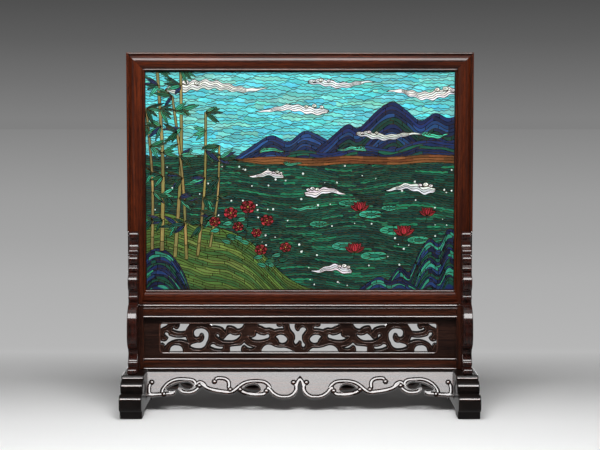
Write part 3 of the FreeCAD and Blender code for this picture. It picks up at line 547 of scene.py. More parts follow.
class EnamelPicture:
    """Cells and wires of a cloisonne picture; a later layer lies over the earlier ones."""

    ripple_gap = 1.8  # between the points of a rippled line
    least_strip = 0.9  # height of a strip at its thinnest
    wire_gap = 1.4  # between the points of a wire
    edge = 0.4  # rim of the picture that wires stay out of

    def __init__(self, width, height, seed):
        self.width = width
        self.height = height
        self.chance = random.Random(seed)
        self.layer = 0
        self.cells = []
        self.wires = []

    def next_layer(self):
        """Starts a layer over the others."""
        self.layer += 1

    def wire(self, points, closed=False):
        """Wire in the present layer."""
        self.wires.append((self.layer, np.array([(p[0], p[1]) for p in points], float), closed))

    def cell(self, outline, colour, wired=True):
        """Cell in the present layer, in a colour a little off the given one."""
        points = np.array([(p[0], p[1]) for p in outline], float)
        lift = 1 + self.chance.uniform(-0.2, 0.2)
        tint = tuple(min(1.0, c * lift * (1 + self.chance.uniform(-0.08, 0.08))) for c in colour)
        self.cells.append((self.layer, np.clip(points, 0, (self.width, self.height)), tint))
        if wired:
            self.wire(points, True)

    def strip(self, upper, lower, colours, piece, ends=True):
        """Strip between two lines of as many points, cut into cells of a random length."""
        self.wire(upper)
        step = np.linalg.norm(np.diff(upper, axis=0), axis=1).mean()
        last = len(upper) - 1
        start = 0
        while start < last:
            end = min(last, start + max(3, int(self.chance.uniform(*piece) / step)))
            end = last if last - end < 4 else end
            ring = np.concatenate([upper[start:end + 1], lower[start:end + 1][::-1]])
            self.cell(ring, self.chance.choice(colours), wired=False)
            if start and ends:
                self.wire([upper[start], lower[start]])
            start = end

    def waves(self, top, bottom, spacing, ripples, drift, colours, piece):
        """Rippled strips from edge to edge, whose lines may meet but not cross."""
        xs = np.linspace(0, self.width, int(self.width / self.ripple_gap))
        phases = [self.chance.uniform(0, math.tau) for _ in ripples]
        lines = []
        for k in range(int((bottom - top) / spacing) + 2):
            ys = top + k * spacing + drift(xs, k)
            for i, (size, length) in enumerate(ripples):
                phases[i] += self.chance.uniform(0.6, 2.6)
                ys = ys + size * np.sin(math.tau * xs / length + phases[i] + 0.8 * np.sin(xs / 37 + k))
            if lines:
                ys = np.maximum(ys, lines[-1][:, 1] + self.least_strip)
            lines.append(np.stack([xs, ys], 1))
        for upper, lower in zip(lines, lines[1:]):
            self.strip(upper, lower, colours, piece, ends=False)

    def terraces(self, ridge, base, spacing, count, colours, piece=(16, 60), rough=0.8):
        """Hill, rock or bank under a ridge line, in strips that echo the ridge."""
        ridge = np.array(ridge, float)
        self.next_layer()
        self.cell([*ridge, (ridge[-1, 0], base), (ridge[0, 0], base)], colours[0])
        self.next_layer()
        lines = []
        for k in range(count + 1):
            phase = self.chance.uniform(0, math.tau)
            ripple = rough * np.sin(ridge[:, 0] / 6 + phase) if k else 0
            lines.append(np.stack([ridge[:, 0], np.minimum(ridge[:, 1] + k * spacing + ripple, base)], 1))
        for k, (upper, lower) in enumerate(zip(lines, lines[1:])):
            free = upper[:, 1] < base - 0.8
            for run in np.split(np.arange(len(free)), np.where(np.diff(free))[0] + 1):
                if free[run[0]] and len(run) > 3:
                    self.strip(upper[run], lower[run], colours[k % len(colours):][:2], piece)

    def cloud(self, x, y, length, depth, strips, colours, lean=1):
        """Streaming cloud: rippled strips that swell at the head and draw out to a point."""
        self.next_layer()
        phase = self.chance.uniform(0, math.tau)
        t = np.linspace(0, 1, max(16, int(length / 2.2)))
        swell = np.sin(math.pi * t ** 0.55) ** 0.8
        middle = y + depth * 0.3 * np.sin(math.tau * 1.2 * t + phase)
        lines = []
        for k in range(strips + 1):
            ripple = 0.13 * np.sin(length / 19 * math.tau * t + phase + 0.35 * k)
            heights = middle + swell * depth * (k / strips - 0.5 + ripple)
            lines.append(np.stack([x + lean * length * (t - 0.5), heights], 1))
        for k, (upper, lower) in enumerate(zip(lines, lines[1:])):
            self.cell([*upper, *lower[::-1]], self.chance.choice(colours), wired=False)
            if k:
                self.wire(upper[: int(len(upper) * 0.8)])
        self.wire(lines[0])
        self.wire(lines[-1])
        for shift, rise, size in ((0.1, -0.34, 0.3), (0.2, -0.52, 0.36), (0.31, -0.42, 0.3)):
            cx, cy = x + lean * length * (shift - 0.5), y + depth * rise
            wide, tall = depth * size, depth * size * 0.8
            self.next_layer()
            self.cell(ellipse(cx, cy, wide, tall), colours[0])
            self.wire([(cx + lean * wide * a / 11 * math.cos(a), cy + tall * a / 11 * math.sin(a))
                       for a in np.linspace(0.6, 9, 18)])

    def leaf(self, foot, tip, width, colour):
        """Pointed leaf with a midrib."""
        self.next_layer()
        foot, tip = np.array(foot, float), np.array(tip, float)
        side = np.array((tip[1] - foot[1], foot[0] - tip[0])) / np.linalg.norm(tip - foot)
        spread = [(t, math.sin(math.pi * t ** 0.8) * width / 2) for t in np.linspace(0, 1, 9)]
        right = [foot + (tip - foot) * t + side * w for t, w in spread]
        left = [foot + (tip - foot) * t - side * w for t, w in reversed(spread[1:-1])]
        self.cell(right + left, colour)
        self.wire([foot, foot + (tip - foot) * 0.8])

    def blossom(self, x, y, size, petals, colours):
        """Round blossom of two rings of petals about a gold eye."""
        turn = self.chance.uniform(0, 1)
        for ring, (reach, count) in enumerate(((1.0, petals), (0.58, petals - 1))):
            self.next_layer()
            for k in range(count):
                way = turn + math.tau * (k + 0.5 * ring) / count
                big = size * reach
                cx, cy = x + math.cos(way) * big * 0.3, y + math.sin(way) * big * 0.26
                self.cell(ellipse(cx, cy, big * 0.28, big * 0.23), colours[(k + ring) % 2])
        self.next_layer()
        self.cell(ellipse(x, y, size * 0.1, size * 0.1), colours[2])

    def lotus(self, x, y, size, colours):
        """Open lotus: pointed petals fanned up from the water."""
        for reach, ways in ((1.0, (-62, 62, -34, 34)), (0.86, (-16, 16)), (0.8, (0,))):
            for way in ways:
                a = math.radians(way)
                tip = (x + math.sin(a) * size * reach, y - math.cos(a) * size * reach)
                self.leaf((x, y), tip, size * 0.42, colours[abs(way) // 20 % 2])

    def pad(self, x, y, length, depth, colours):
        """Floating leaf with veins."""
        self.next_layer()
        rim = [(x + length / 2 * math.cos(a), y + depth / 2 * math.sin(a) * (1 + 0.06 * math.sin(5 * a)))
               for a in np.linspace(0.35, math.tau - 0.35, 26)]
        self.cell([*rim, (x + length * 0.06, y)], colours[0])
        for a in np.linspace(0.9, math.tau - 0.9, 8):
            end = (x + length * 0.42 * math.cos(a), y + depth * 0.42 * math.sin(a))
            self.wire([(x + length * 0.04, y), end])
        self.next_layer()
        self.cell(ellipse(x, y, length * 0.2, depth * 0.2), colours[1])

    def cane(self, foot, head, width, joints, colours):
        """Bamboo cane cut into joints; gives the joints' places."""
        line = smooth_line([foot, ((foot[0] + head[0]) / 2 + 5, (foot[1] + head[1]) / 2), head], 12)
        self.next_layer()
        marks = np.linspace(0, len(line) - 1, joints + 1).astype(int)
        for k, (a, b) in enumerate(zip(marks, marks[1:])):
            part = line[a:b + 1]
            half = width / 2 * (1 - 0.35 * a / len(line))
            ring = [(p[0] - half, p[1]) for p in part] + [(p[0] + half, p[1]) for p in reversed(part)]
            self.cell(ring, colours[k % 2])
        return [line[m] for m in marks]

    def levels(self):
        """Height of each layer: one step over whatever it overlaps."""
        corners = {}
        for layer, outline, _ in self.cells:
            low, high = corners.get(layer, (outline.min(0), outline.max(0)))
            corners[layer] = (np.minimum(low, outline.min(0)), np.maximum(high, outline.max(0)))
        levels = {}
        for layer in sorted(corners):
            low, high = corners[layer]
            under = [levels[other] for other in levels
                     if (corners[other][0] < high).all() and (corners[other][1] > low).all()]
            levels[layer] = 1 + max(under, default=0)
        for layer, _, _ in self.wires:
            levels.setdefault(layer, max(levels.values()))
        return levels

    def shown_wires(self):
        """Wires without the stretches that later layers cover: (layer, points, closed)."""
        layers = np.array([layer for layer, _, _ in self.cells])
        lows = np.array([outline.min(0) for _, outline, _ in self.cells])
        highs = np.array([outline.max(0) for _, outline, _ in self.cells])
        shown = []
        for layer, points, closed in self.wires:
            points = np.concatenate([points, points[:1]]) if closed else points
            way = np.concatenate([[0], np.cumsum(np.linalg.norm(np.diff(points, axis=0), axis=1))])
            if way[-1] < 0.6:
                continue
            marks = np.linspace(0, way[-1], max(3, int(way[-1] / self.wire_gap)))
            fine = np.stack([np.interp(marks, way, points[:, i]) for i in (0, 1)], 1)
            far = (self.width - self.edge, self.height - self.edge)
            hidden = ((fine < self.edge) | (fine > far)).any(1)
            near = (layers > layer) & (lows < fine.max(0)).all(1) & (highs > fine.min(0)).all(1)
            for index in np.flatnonzero(near):
                hidden |= inside(fine, self.cells[index][1])
            if not hidden.any():
                shown.append((layer, fine[:-1] if closed else fine, closed))
                continue
            for run in np.split(np.arange(len(fine)), np.where(np.diff(hidden))[0] + 1):
                if not hidden[run[0]] and len(run) > 1:
                    shown.append((layer, fine[run], False))
        return shown


def ellipse(x, y, wide, tall):
    """Outline of an ellipse."""
    return [(x + wide * math.cos(a), y + tall * math.sin(a)) for a in np.linspace(0, math.tau, 15)[:-1]]


def paint_picture(picture, tone):
    """Lakeside garden: bamboo and flowers on a bank, hills across the water, lotus and rocks."""
    for paint in (sky_and_water, far_shore, clouds_and_mist, lotus_and_pads, rocks, bank, bamboo, flowers):
        paint(picture, tone)


def sky_and_water(picture, tone):
    """Rippled strips of sky over rippled strips of water."""
    picture.waves(-4, 150, 4.9, ((0.7, 11), (0.5, 6.5), (1.3, 58), (0.9, 31)),
                  lambda x, k: 0.8 * np.sin(x / 60 + k / 3), tone["sky"], (14, 70))
    picture.next_layer()
    picture.waves(134, picture.height + 4, 3.7, ((0.55, 14), (0.4, 8)),
                  lambda x, k: 4.5 * np.sin(x / 46 + k / 9) + 2.5 * np.sin(x / 23 + 1 - k / 7),
                  tone["water"], (12, 48))


def far_shore(picture, tone):
    """Far hills and the shore below them."""
    hills = (
        (((146, 140), (178, 118), (205, 104), (232, 114), (258, 97), (285, 106), (315, 124), (335, 140)),
         5, 7),
        (((262, 140), (300, 108), (328, 86), (346, 92), (378, 62), (402, 50), (424, 64), (446, 80),
          (470, 68), (490, 76), (506, 72)), 6, 13),
        (((210, 141), (250, 128), (300, 132), (350, 120), (400, 126), (450, 112), (506, 118)), 4.5, 6),
    )
    for (ridge, spacing, count), colours in zip(hills, (tone["far_hill"], tone["hill"], tone["near_hill"])):
        picture.terraces(smooth_line(ridge, 9), 142, spacing, count, colours)
    picture.next_layer()
    upper = smooth_line([(140, 143), (210, 138), (270, 141), (330, 137), (400, 139),
                         (460, 135), (506, 137)], 9)
    for shift in (0, 4, 8):
        lower = [(x, y + min(4.2, (x - 140) / 12) + 0.6 * math.sin(x / 9 + shift)) for x, y in upper]
        picture.strip(np.array(upper), np.array(lower), tone["shore"], (20, 60), ends=False)
        upper = lower
    picture.wire(upper)


def clouds_and_mist(picture, tone):
    """Clouds across the sky and the hills, and mist on the water."""
    for x, y, length, depth, strips, lean in ((116, 26, 168, 15, 4, 1), (238, 62, 120, 11, 3, -1),
                                              (318, 20, 110, 10, 3, 1), (450, 36, 120, 14, 4, -1),
                                              (396, 104, 110, 10, 3, 1), (292, 196, 70, 11, 3, 1),
                                              (430, 190, 84, 12, 3, -1), (196, 168, 60, 9, 3, -1),
                                              (302, 322, 70, 11, 3, -1)):
        picture.cloud(x, y, length, depth, strips, tone["cloud"], lean)
    for x, y, length, depth, lean in ((206, 128, 44, 6, 1), (334, 126, 52, 6, -1), (470, 104, 46, 7, 1),
                                      (258, 222, 50, 6, -1), (240, 150, 34, 5, 1)):
        picture.cloud(x, y, length, depth, 2, tone["mist"], lean)


def lotus_and_pads(picture, tone):
    """Floating leaves and lotus."""
    pads = ((330, 214, 34, 11), (366, 232, 40, 13), (402, 258, 44, 15), (322, 284, 40, 14),
            (372, 300, 46, 15), (444, 274, 38, 13), (282, 248, 32, 11), (396, 222, 26, 9))
    for x, y, length, depth in pads:
        picture.pad(x, y, length, depth, tone["pad"])
    for x, y, size in ((348, 226, 18), (420, 266, 20), (340, 294, 19), (458, 234, 16)):
        picture.wire([(x, y), (x - 3, y + 12)])
        picture.lotus(x, y, size, tone["red"])


def rocks(picture, tone):
    """Rocks at the lower right."""
    for ridge, spacing, count in (
            (((384, 360), (398, 336), (414, 318), (430, 326), (446, 292), (462, 272), (478, 280), (492, 256),
              (506, 262)), 5, 18),
            (((340, 360), (360, 345), (380, 334), (398, 341), (416, 336), (436, 348), (452, 360)), 4.2, 5)):
        picture.terraces(smooth_line(ridge, 9), picture.height + 2, spacing, count, tone["rock"],
                         (9, 30), 1.4)


def bank(picture, tone):
    """Grassy bank at the lower left, with its stones."""
    ridge = smooth_line([(-2, 236), (30, 230), (62, 240), (96, 252), (132, 258), (168, 276),
                         (198, 304), (226, 332), (262, 352), (300, 360)], 9)
    picture.terraces(ridge, picture.height + 2, 4.4, 30, tone["bank"])
    stones = smooth_line([(-2, 300), (14, 288), (34, 292), (52, 312), (64, 334), (72, 360)], 9)
    picture.terraces(stones, picture.height + 2, 4.6, 14, tone["rock"], (9, 30), 1.2)


def bamboo(picture, tone):
    """Canes on the bank, with leaves at their joints."""
    chance = picture.chance
    canes = (((26, 292), (20, -4), 6.5, 9), ((47, 302), (58, -4), 6.0, 9), ((66, 306), (44, 40), 5.0, 8),
             ((84, 300), (98, 66), 5.0, 7), ((10, 290), (2, 60), 5.0, 7), ((104, 286), (120, 120), 4.2, 6))
    knots = [picture.cane(*cane, tone["cane"]) for cane in canes]
    for row in knots:
        for number, knot in enumerate(row[2:]):
            reach = 1 if number % 2 else -1
            for _ in range(chance.randint(4, 6)):
                way = math.radians(chance.uniform(-35, 70))
                size = chance.uniform(18, 32)
                tip = (knot[0] + reach * size * math.cos(way), knot[1] + size * math.sin(way))
                picture.leaf(knot, tip, chance.uniform(4.5, 6.8), chance.choice(tone["leaf"]))


def flowers(picture, tone):
    """Flowers on leafy stems at the edge of the bank."""
    stems = (((150, 286), (138, 232)), ((156, 290), (166, 222)), ((160, 292), (196, 244)),
             ((148, 290), (112, 246)), ((204, 326), (226, 288)), ((200, 326), (188, 292)))
    for foot, head in stems:
        picture.next_layer()
        bend = ((foot[0] + head[0]) / 2 + 4, (foot[1] + head[1]) / 2)
        picture.wire(smooth_line([foot, bend, head], 8))
        for k in range(3):
            t = 0.25 + 0.25 * k
            x, y = foot[0] + (head[0] - foot[0]) * t, foot[1] + (head[1] - foot[1]) * t
            reach = 1 if k % 2 else -1
            picture.leaf((x, y), (x + reach * 17, y - 5 + 4 * k), 7.5, tone["pad"][k % 2])
    for x, y, size in ((138, 230, 20), (166, 220, 22), (197, 242, 19), (112, 244, 17), (227, 286, 17),
                       (187, 290, 18), (150, 252, 16), (180, 262, 15)):
        picture.blossom(x, y, size, 6, tone["red"])


PICTURE_TONES = {
    "sky": ("#58c4cc", "#62ccd0", "#50bac6", "#6ccac8", "#5ec0bc", "#76c4ba", "#54c8d4"),
    "water": ("#0b382f", "#0e4337", "#092f2a", "#104c3d", "#0c3e34", "#125a44", "#0a3432",
              "#177050", "#0d4638"),
    "far_hill": ("#1d3660", "#182c55", "#244a7c", "#162a4a"),
    "hill": ("#152248", "#192a58", "#121c3c", "#1d3f6c", "#142344", "#10362f"),
    "near_hill": ("#103c36", "#172a54", "#14523f", "#132146"),
    "shore": ("#6e4222", "#5c361c", "#7a4c28"),
    "cloud": ("#eeeae4", "#e2e2df", "#d2d8da"),
    "mist": ("#46b894", "#3aa584"),
    "pad": ("#2f8f72", "#14604a"),
    "red": ("#9c2630", "#7e1b26", "#a8893c"),
    "rock": ("#162856", "#121d42", "#2c8a70", "#1b3866", "#101a3a", "#0f4a3a"),
    "bank": ("#5a7433", "#4c692d", "#647a39", "#44602a", "#3a6231"),
    "cane": ("#7d7040", "#8f7f4a"),
    "leaf": ("#0f5a3e", "#0b4534", "#268a68", "#124f46", "#18305e", "#3aa584"),
}


def plated(name, picture, left, top, face, step, material):
    """Thin plates of enamel, one for each cell, stacked by level."""
    work = bmesh.new()
    tint = work.loops.layers.float_color.new("cell_colour")
    back = face + 0.1 * MM
    levels = picture.levels()
    for layer, outline, colour in picture.cells:
        ring = [p for k, p in enumerate(outline) if np.linalg.norm(p - outline[k - 1]) > 0.02]
        if len(ring) < 3:
            continue
        area = sum(a[0] * b[1] - b[0] * a[1] for a, b in zip(ring, ring[1:] + ring[:1]))
        if abs(area) < 0.4:
            continue
        ring = ring if area < 0 else ring[::-1]
        front = face - levels[layer] * step
        rims = [[work.verts.new((left + x * MM, y, top - z * MM)) for x, z in ring] for y in (front, back)]
        faces = [work.faces.new(rims[0][::-1]), work.faces.new(rims[1])]
        for k in range(len(ring)):
            faces.append(work.faces.new((rims[0][k - 1], rims[0][k], rims[1][k], rims[1][k - 1])))
        for f in faces:
            for corner in f.loops:
                corner[tint] = (*colour, 1)
    bmesh.ops.recalc_face_normals(work, faces=work.faces)
    bmesh.ops.triangulate(work, faces=[f for f in work.faces if len(f.verts) > 4])
    mesh = bpy.data.meshes.new(name)
    work.to_mesh(mesh)
    work.free()
    mesh.materials.append(material)
    return linked(name, mesh)


# Right half of the relief on an apron: shares of its half-length and of its slope, and whether
# the first and last points end in a round knob.
APRON_SCROLLS = (
    (((0.191, 0.64), (0.211, 0.518), (0.241, 0.422), (0.31, 0.405), (0.36, 0.463), (0.389, 0.559),
      (0.414, 0.668), (0.443, 0.77), (0.498, 0.765), (0.578, 0.69), (0.612, 0.613), (0.627, 0.504),
      (0.652, 0.436), (0.672, 0.504), (0.657, 0.564)), False, True),
    (((0.219, 0.749), (0.231, 0.84), (0.256, 0.868), (0.31, 0.85), (0.355, 0.82), (0.384, 0.745),
      (0.39, 0.7)), True, True),
    (((0.558, 0.422), (0.543, 0.313), (0.518, 0.3), (0.488, 0.327), (0.468, 0.409), (0.463, 0.531),
      (0.464, 0.62), (0.455, 0.7)), True, True),
    (((0.687, 0.586), (0.684, 0.463), (0.706, 0.365), (0.776, 0.335), (0.82, 0.37), (0.862, 0.49),
      (0.889, 0.66), (0.897, 0.777), (0.885, 0.86)), False, True),
    (((0.967, 0.445), (0.982, 0.587), (0.976, 0.85), (0.93, 0.86)), True, False),
    (((0.042, 0.45), (0.03, 0.52), (0.028, 0.6)), True, False),
)

# Painted falloff of light: greys of the white floor from far to near, and of the backdrop from the floor
# upwards
FLOOR_GREYS = (
    (0.0, "#808080"), (0.07, "#909090"), (0.13, "#9c9c9c"), (0.2, "#a4a4a4"), (0.262, "#adadad"),
    (0.375, "#b6b6b6"), (0.42, "#c6c6c6"), (0.45, "#d4d4d4"), (0.475, "#e2e2e2"), (0.5, "#ececec"),
    (0.545, "#f2f2f2"))
BACKDROP_GREYS = ((0.0, "#808080"), (0.25, "#707070"), (0.5, "#5e5e5e"), (0.74, "#505050"), (1.0, "#444444"))

# Shares of a rail's height: the beads that are worn flat, and the quirks between its mouldings, where dark
# strips of painted shade are laid
RAIL_FLATS = {"upper_rail": ((0, 0.14), (0.68, 0.76), (0.86, 1)), "lower_rail": ((0, 0.14), (0.86, 1))}
RAIL_QUIRKS = (0.165, 0.67, 0.83)

# What all length properties and all colour properties have in common
LENGTH = {"min": 0, "unit": "LENGTH", "precision": 6}
COLOUR = {"min": 0, "max": 1, "subtype": "COLOR"}


class ScreenSizes(bpy.types.PropertyGroup):
    """Sizes of the carving and of the enamel work."""

    arris: FloatProperty(
        name="Arris", description="Rounding of the wood's outer edges", default=0.9 * MM, **LENGTH)
    fret_bead: FloatProperty(
        name="Fret bead", description="Radius of the bead along the fret's piercings",
        default=0.75 * MM, **LENGTH)
    opening_bead: FloatProperty(
        name="Opening bead", description="Radius of the bead round the fret's opening",
        default=1.3 * MM, **LENGTH)
    apron_bead: FloatProperty(
        name="Apron bead", description="Radius of the bead along an apron's edge",
        default=2.1 * MM, **LENGTH)
    rim_bead: FloatProperty(
        name="Rim bead", description="Radius of the bead round an apron's piercings",
        default=0.8 * MM, **LENGTH)
    spandrel_bead: FloatProperty(
        name="Spandrel bead", description="Radius of the bead on a spandrel's sides",
        default=0.8 * MM, **LENGTH)
    flat_width: FloatProperty(
        name="Rubbed flat", description="Width of the worn flats on straight beads",
        default=1.9 * MM, **LENGTH)
    flat_tilt: FloatProperty(
        name="Tilt of the flats", description="Upward tilt of the worn flats", default=math.radians(31),
        subtype="ANGLE")
    wire: FloatProperty(
        name="Wire", description="Radius of the wires between the enamel cells", default=0.5 * MM, **LENGTH)
    enamel_step: FloatProperty(
        name="Enamel step", description="Height of one level of enamel cells", default=0.004 * MM, **LENGTH)
    foam_drops: IntProperty(
        name="Foam drops", description="White drops tried on the water", default=120, min=0)


class ScreenColours(bpy.types.PropertyGroup):
    """Tones of the wood and the metal."""

    stand_dark: FloatVectorProperty(
        name="Stand, dark grain", description="Darkest tone of the stand's wood",
        default=linear("#160b08"), **COLOUR)
    stand_light: FloatVectorProperty(
        name="Stand, light grain", description="Lightest tone of the stand's wood",
        default=linear("#55260f"), **COLOUR)
    carved_light: FloatVectorProperty(
        name="Spandrel, light grain", description="Lightest tone of the spandrels",
        default=linear("#49180b"), **COLOUR)
    frame_dark: FloatVectorProperty(
        name="Frame, dark grain", description="Darkest tone of the frame's wood",
        default=linear("#240d06"), **COLOUR)
    frame_light: FloatVectorProperty(
        name="Frame, light grain", description="Lightest tone of the frame's wood",
        default=linear("#78310f"), **COLOUR)
    waist_dark: FloatVectorProperty(
        name="Waist, dark grain", description="Darkest tone of the waist panel",
        default=linear("#1a100d"), **COLOUR)
    waist_light: FloatVectorProperty(
        name="Waist, light grain", description="Lightest tone of the waist panel",
        default=linear("#452a20"), **COLOUR)
    # The raised beads' tones are lighter than the stand's, a painted highlight on them.
    bead_dark: FloatVectorProperty(
        name="Bead, dark grain", description="Darkest tone of the raised beads",
        default=linear("#3c2219"), **COLOUR)
    bead_light: FloatVectorProperty(
        name="Bead, light grain", description="Lightest tone of the raised beads",
        default=linear("#6a4231"), **COLOUR)
    foot_dark: FloatVectorProperty(
        name="Foot, dark grain", description="Darkest tone of the feet",
        default=linear("#0a0706"), **COLOUR)
    foot_light: FloatVectorProperty(
        name="Foot, light grain", description="Lightest tone of the feet",
        default=linear("#1f1410"), **COLOUR)
    board_dark: FloatVectorProperty(
        name="Back, dark grain", description="Darkest tone of the back board",
        default=linear("#22120b"), **COLOUR)
    board_light: FloatVectorProperty(
        name="Back, light grain", description="Lightest tone of the back board",
        default=linear("#6a4428"), **COLOUR)
    wire: FloatVectorProperty(
        name="Wire", description="Tone of the clean wire", default=linear("#574228"), **COLOUR)


class StudioSettings(bpy.types.PropertyGroup):
    """Camera and light."""

    distance: FloatProperty(
        name="Distance", description="Camera's distance from the screen", default=2.5, unit="LENGTH")
    height: FloatProperty(
        name="Height", description="Camera's height over the floor", default=0.4753, unit="LENGTH")
    pitch: FloatProperty(
        name="Pitch", description="Downward tilt of the camera", default=math.radians(4), subtype="ANGLE")
    lens: FloatProperty(
        name="Lens", description="Focal length for a 36 mm sensor", default=92.2, unit="CAMERA")
    key: FloatProperty(
        name="Key", description="Power of the overhead soft box", default=27, unit="POWER")
    ceiling: FloatProperty(
        name="Ceiling", description="Power of the wide panel overhead", default=4, unit="POWER")
    fill: FloatProperty(
        name="Fill", description="Power of the left soft box", default=6, unit="POWER")
    rear: FloatProperty(
        name="Rear", description="Power of the low soft box behind", default=26, unit="POWER")
    surround: FloatProperty(
        name="Surround", description="Level of the light from all round", default=0.06)


def tones(dark, light):
    """Dark, middle and light grain."""
    return tuple(dark), tuple((a + b) / 2 for a, b in zip(dark, light)), tuple(light)


def wood_for(name, along, dark, light, wax=0.12, polish=0.5, gloss=1.5):
    """Wood with its grain along an axis, made once.

    Wax is the coat's roughness, polish its share and gloss its index of refraction.
    """
    name = f"{name}_{along}"
    known = bpy.data.materials.get(name)
    return known or waxed_hardwood(name, along, tones(dark, light), wax, polish, gloss)


def stand_wood(along, name="stand_rosewood", wax=0.12, polish=0.5, gloss=1.5):
    """Wood in the stand's tones."""
    colours = bpy.context.scene.screen_colours
    return wood_for(name, along, colours.stand_dark, colours.stand_light, wax, polish, gloss)


def polished_wood():
    """Wood of the raised beads, glossier than the rest and lighter in tone, a painted highlight."""
    colours = bpy.context.scene.screen_colours
    return wood_for("polished_rosewood", "X", colours.bead_dark, colours.bead_light, 0.07, 1, 1.7)


def painted_shade():
    """Painted shade for grooves, quirks and the rebate, made once."""
    return bpy.data.materials.get("painted_groove_shade") or painted_groove_shade()


class SCREEN_OT_stage(bpy.types.Operator):
    """Floor, surround, soft boxes and camera"""

    bl_idname = "table_screen.stage"
    bl_label = "Stage"

    def execute(self, context):
        scene = context.scene
        studio = scene.screen_studio
        scene.view_settings.view_transform = "Standard"
        self.floor()
        self.surround(scene, studio.surround)
        for name, place, aim, size, power in (
                ("key_box", (0, -1.0, 1.42), (0, 0, 0.1), (1.1, 0.62), studio.key),
                ("ceiling_box", (0, -0.6, 1.9), (0, -0.3, 0), (2.0, 0.9), studio.ceiling),
                ("rear_box", (0, 3, 0.2), (0, 0, 0.2), (2.4, 0.3), studio.rear),
                ("left_box", (-1.7, -1.5, 0.9), (0, 0, 0.3), (0.5, 1.3), studio.fill),
                ("right_box", (1.7, -1.5, 0.9), (0, 0, 0.3), (0.5, 1.3), studio.fill * 0.6)):
            self.soft_box(name, place, aim, size, power)
        self.camera(scene, studio)
        return {"FINISHED"}

    def floor(self):
        """Wide sheet of studio paper."""
        reach = 60
        mesh = bpy.data.meshes.new("floor")
        mesh.from_pydata([(x * reach, y * reach, 0) for x, y in ((-1, -1), (1, -1), (1, 1), (-1, 1))], [],
                         [(0, 1, 2, 3)])
        mesh.materials.append(self.paper())
        linked("floor", mesh)

    def paper(self):
        """White paper, rolled out smooth.

        The eye sees white that greys with distance all round the screen, a painted falloff of light. Near
        the screen the paper takes light and shadow, further off it glows in the painted greys alone, and
        polish sees it dim in front.
        """
        material, tree = new_material("studio_paper")
        place = add(tree, "ShaderNodeTexCoord").outputs["Object"]
        x, y, _ = add(tree, "ShaderNodeSeparateXYZ", {"Vector": place}).outputs
        beside = maths(tree, "SUBTRACT", maths(tree, "ABSOLUTE", x), 0.75)
        before = maths(tree, "MULTIPLY_ADD", y, -1.6, -0.85)
        away = maths(tree, "MAXIMUM", y, maths(tree, "MAXIMUM", before, beside))
        # the greys crowd together with distance, as they do on a floor seen in perspective
        distance = maths(tree, "MAXIMUM", maths(tree, "ADD", away, 2.5), 1.0)
        tone = add(tree, "ShaderNodeValToRGB", {"Fac": maths(tree, "DIVIDE", 1.18825, distance)},
                   [(share, linear(grey)) for share, grey in FLOOR_GREYS])
        lit = add(tree, "ShaderNodeBsdfDiffuse", {"Color": tone})
        plain = add(tree, "ShaderNodeEmission", {"Color": tone})
        dim = add(tree, "ShaderNodeEmission", {"Color": tone, "Strength": self.room(tree, y, 0.25)})
        path = add(tree, "ShaderNodeLightPath").outputs
        far = add(tree, "ShaderNodeMapRange", {"Value": away, "From Min": 0.25, "From Max": 0.6})
        plainly = maths(tree, "MULTIPLY", far, path["Is Camera Ray"])
        seen = add(tree, "ShaderNodeMixShader", {0: plainly, 1: lit, 2: plain})
        bent = maths(tree, "MAXIMUM", path["Is Glossy Ray"], path["Is Transmission Ray"])
        mirrored = add(tree, "ShaderNodeMixShader", {0: bent, 1: seen, 2: dim})
        add(tree, "ShaderNodeOutputMaterial", {"Surface": mirrored})
        return material

    def room(self, tree, y, least):
        """Strength of what polish sees: least in front of the screen, full behind it."""
        return add(tree, "ShaderNodeMapRange", {
            "Value": y, "From Min": -0.3, "From Max": 0.4, "To Min": least})

    def surround(self, scene, level):
        """Even light from all round.

        The eye sees a grey that darkens upwards, a painted falloff of light, and polish sees a dark room in
        front.
        """
        world = bpy.data.worlds.new("studio")
        scene.world = world
        world.use_nodes = True
        tree = world.node_tree
        tree.nodes.clear()
        way = add(tree, "ShaderNodeTexCoord").outputs["Generated"]
        _, y, z = add(tree, "ShaderNodeSeparateXYZ", {"Vector": way}).outputs
        tone = add(tree, "ShaderNodeValToRGB", {
            "Fac": add(tree, "ShaderNodeMapRange", {"Value": z, "From Max": 0.1})},
            [(share, linear(grey)) for share, grey in BACKDROP_GREYS])
        path = add(tree, "ShaderNodeLightPath").outputs
        strength = maths(tree, "MAXIMUM", self.room(tree, y, 0.12), path["Is Camera Ray"])
        seen = add(tree, "ShaderNodeBackground", {"Color": tone, "Strength": strength})
        fill = add(tree, "ShaderNodeBackground", {"Color": (1, 1, 1, 1), "Strength": level})
        direct = maths(tree, "MAXIMUM", path["Is Camera Ray"], path["Is Glossy Ray"])
        either = maths(tree, "MAXIMUM", direct, path["Is Transmission Ray"])
        mixed = add(tree, "ShaderNodeMixShader", {0: either, 1: fill, 2: seen})
        add(tree, "ShaderNodeOutputWorld", {"Surface": mixed})

    def soft_box(self, name, place, aim, size, power):
        """Rectangular lamp that the camera doesn't see."""
        lamp = bpy.data.lights.new(name, "AREA")
        lamp.shape = "RECTANGLE"
        lamp.size, lamp.size_y = size
        lamp.energy = power
        box = linked(name, lamp)
        box.location = place
        box.rotation_euler = (Vector(aim) - Vector(place)).to_track_quat("-Z", "Y").to_euler()
        box.visible_camera = False

    def camera(self, scene, studio):
        """Camera in front of the screen, looking a little down."""
        camera = linked("camera", bpy.data.cameras.new("camera"))
        camera.location = (0, -studio.distance, studio.height)
        camera.rotation_euler = (math.pi / 2 - studio.pitch, 0, 0)
        camera.data.lens = studio.lens
        camera.data.sensor_width = 36
        camera.data.clip_end = 200
        scene.camera = camera


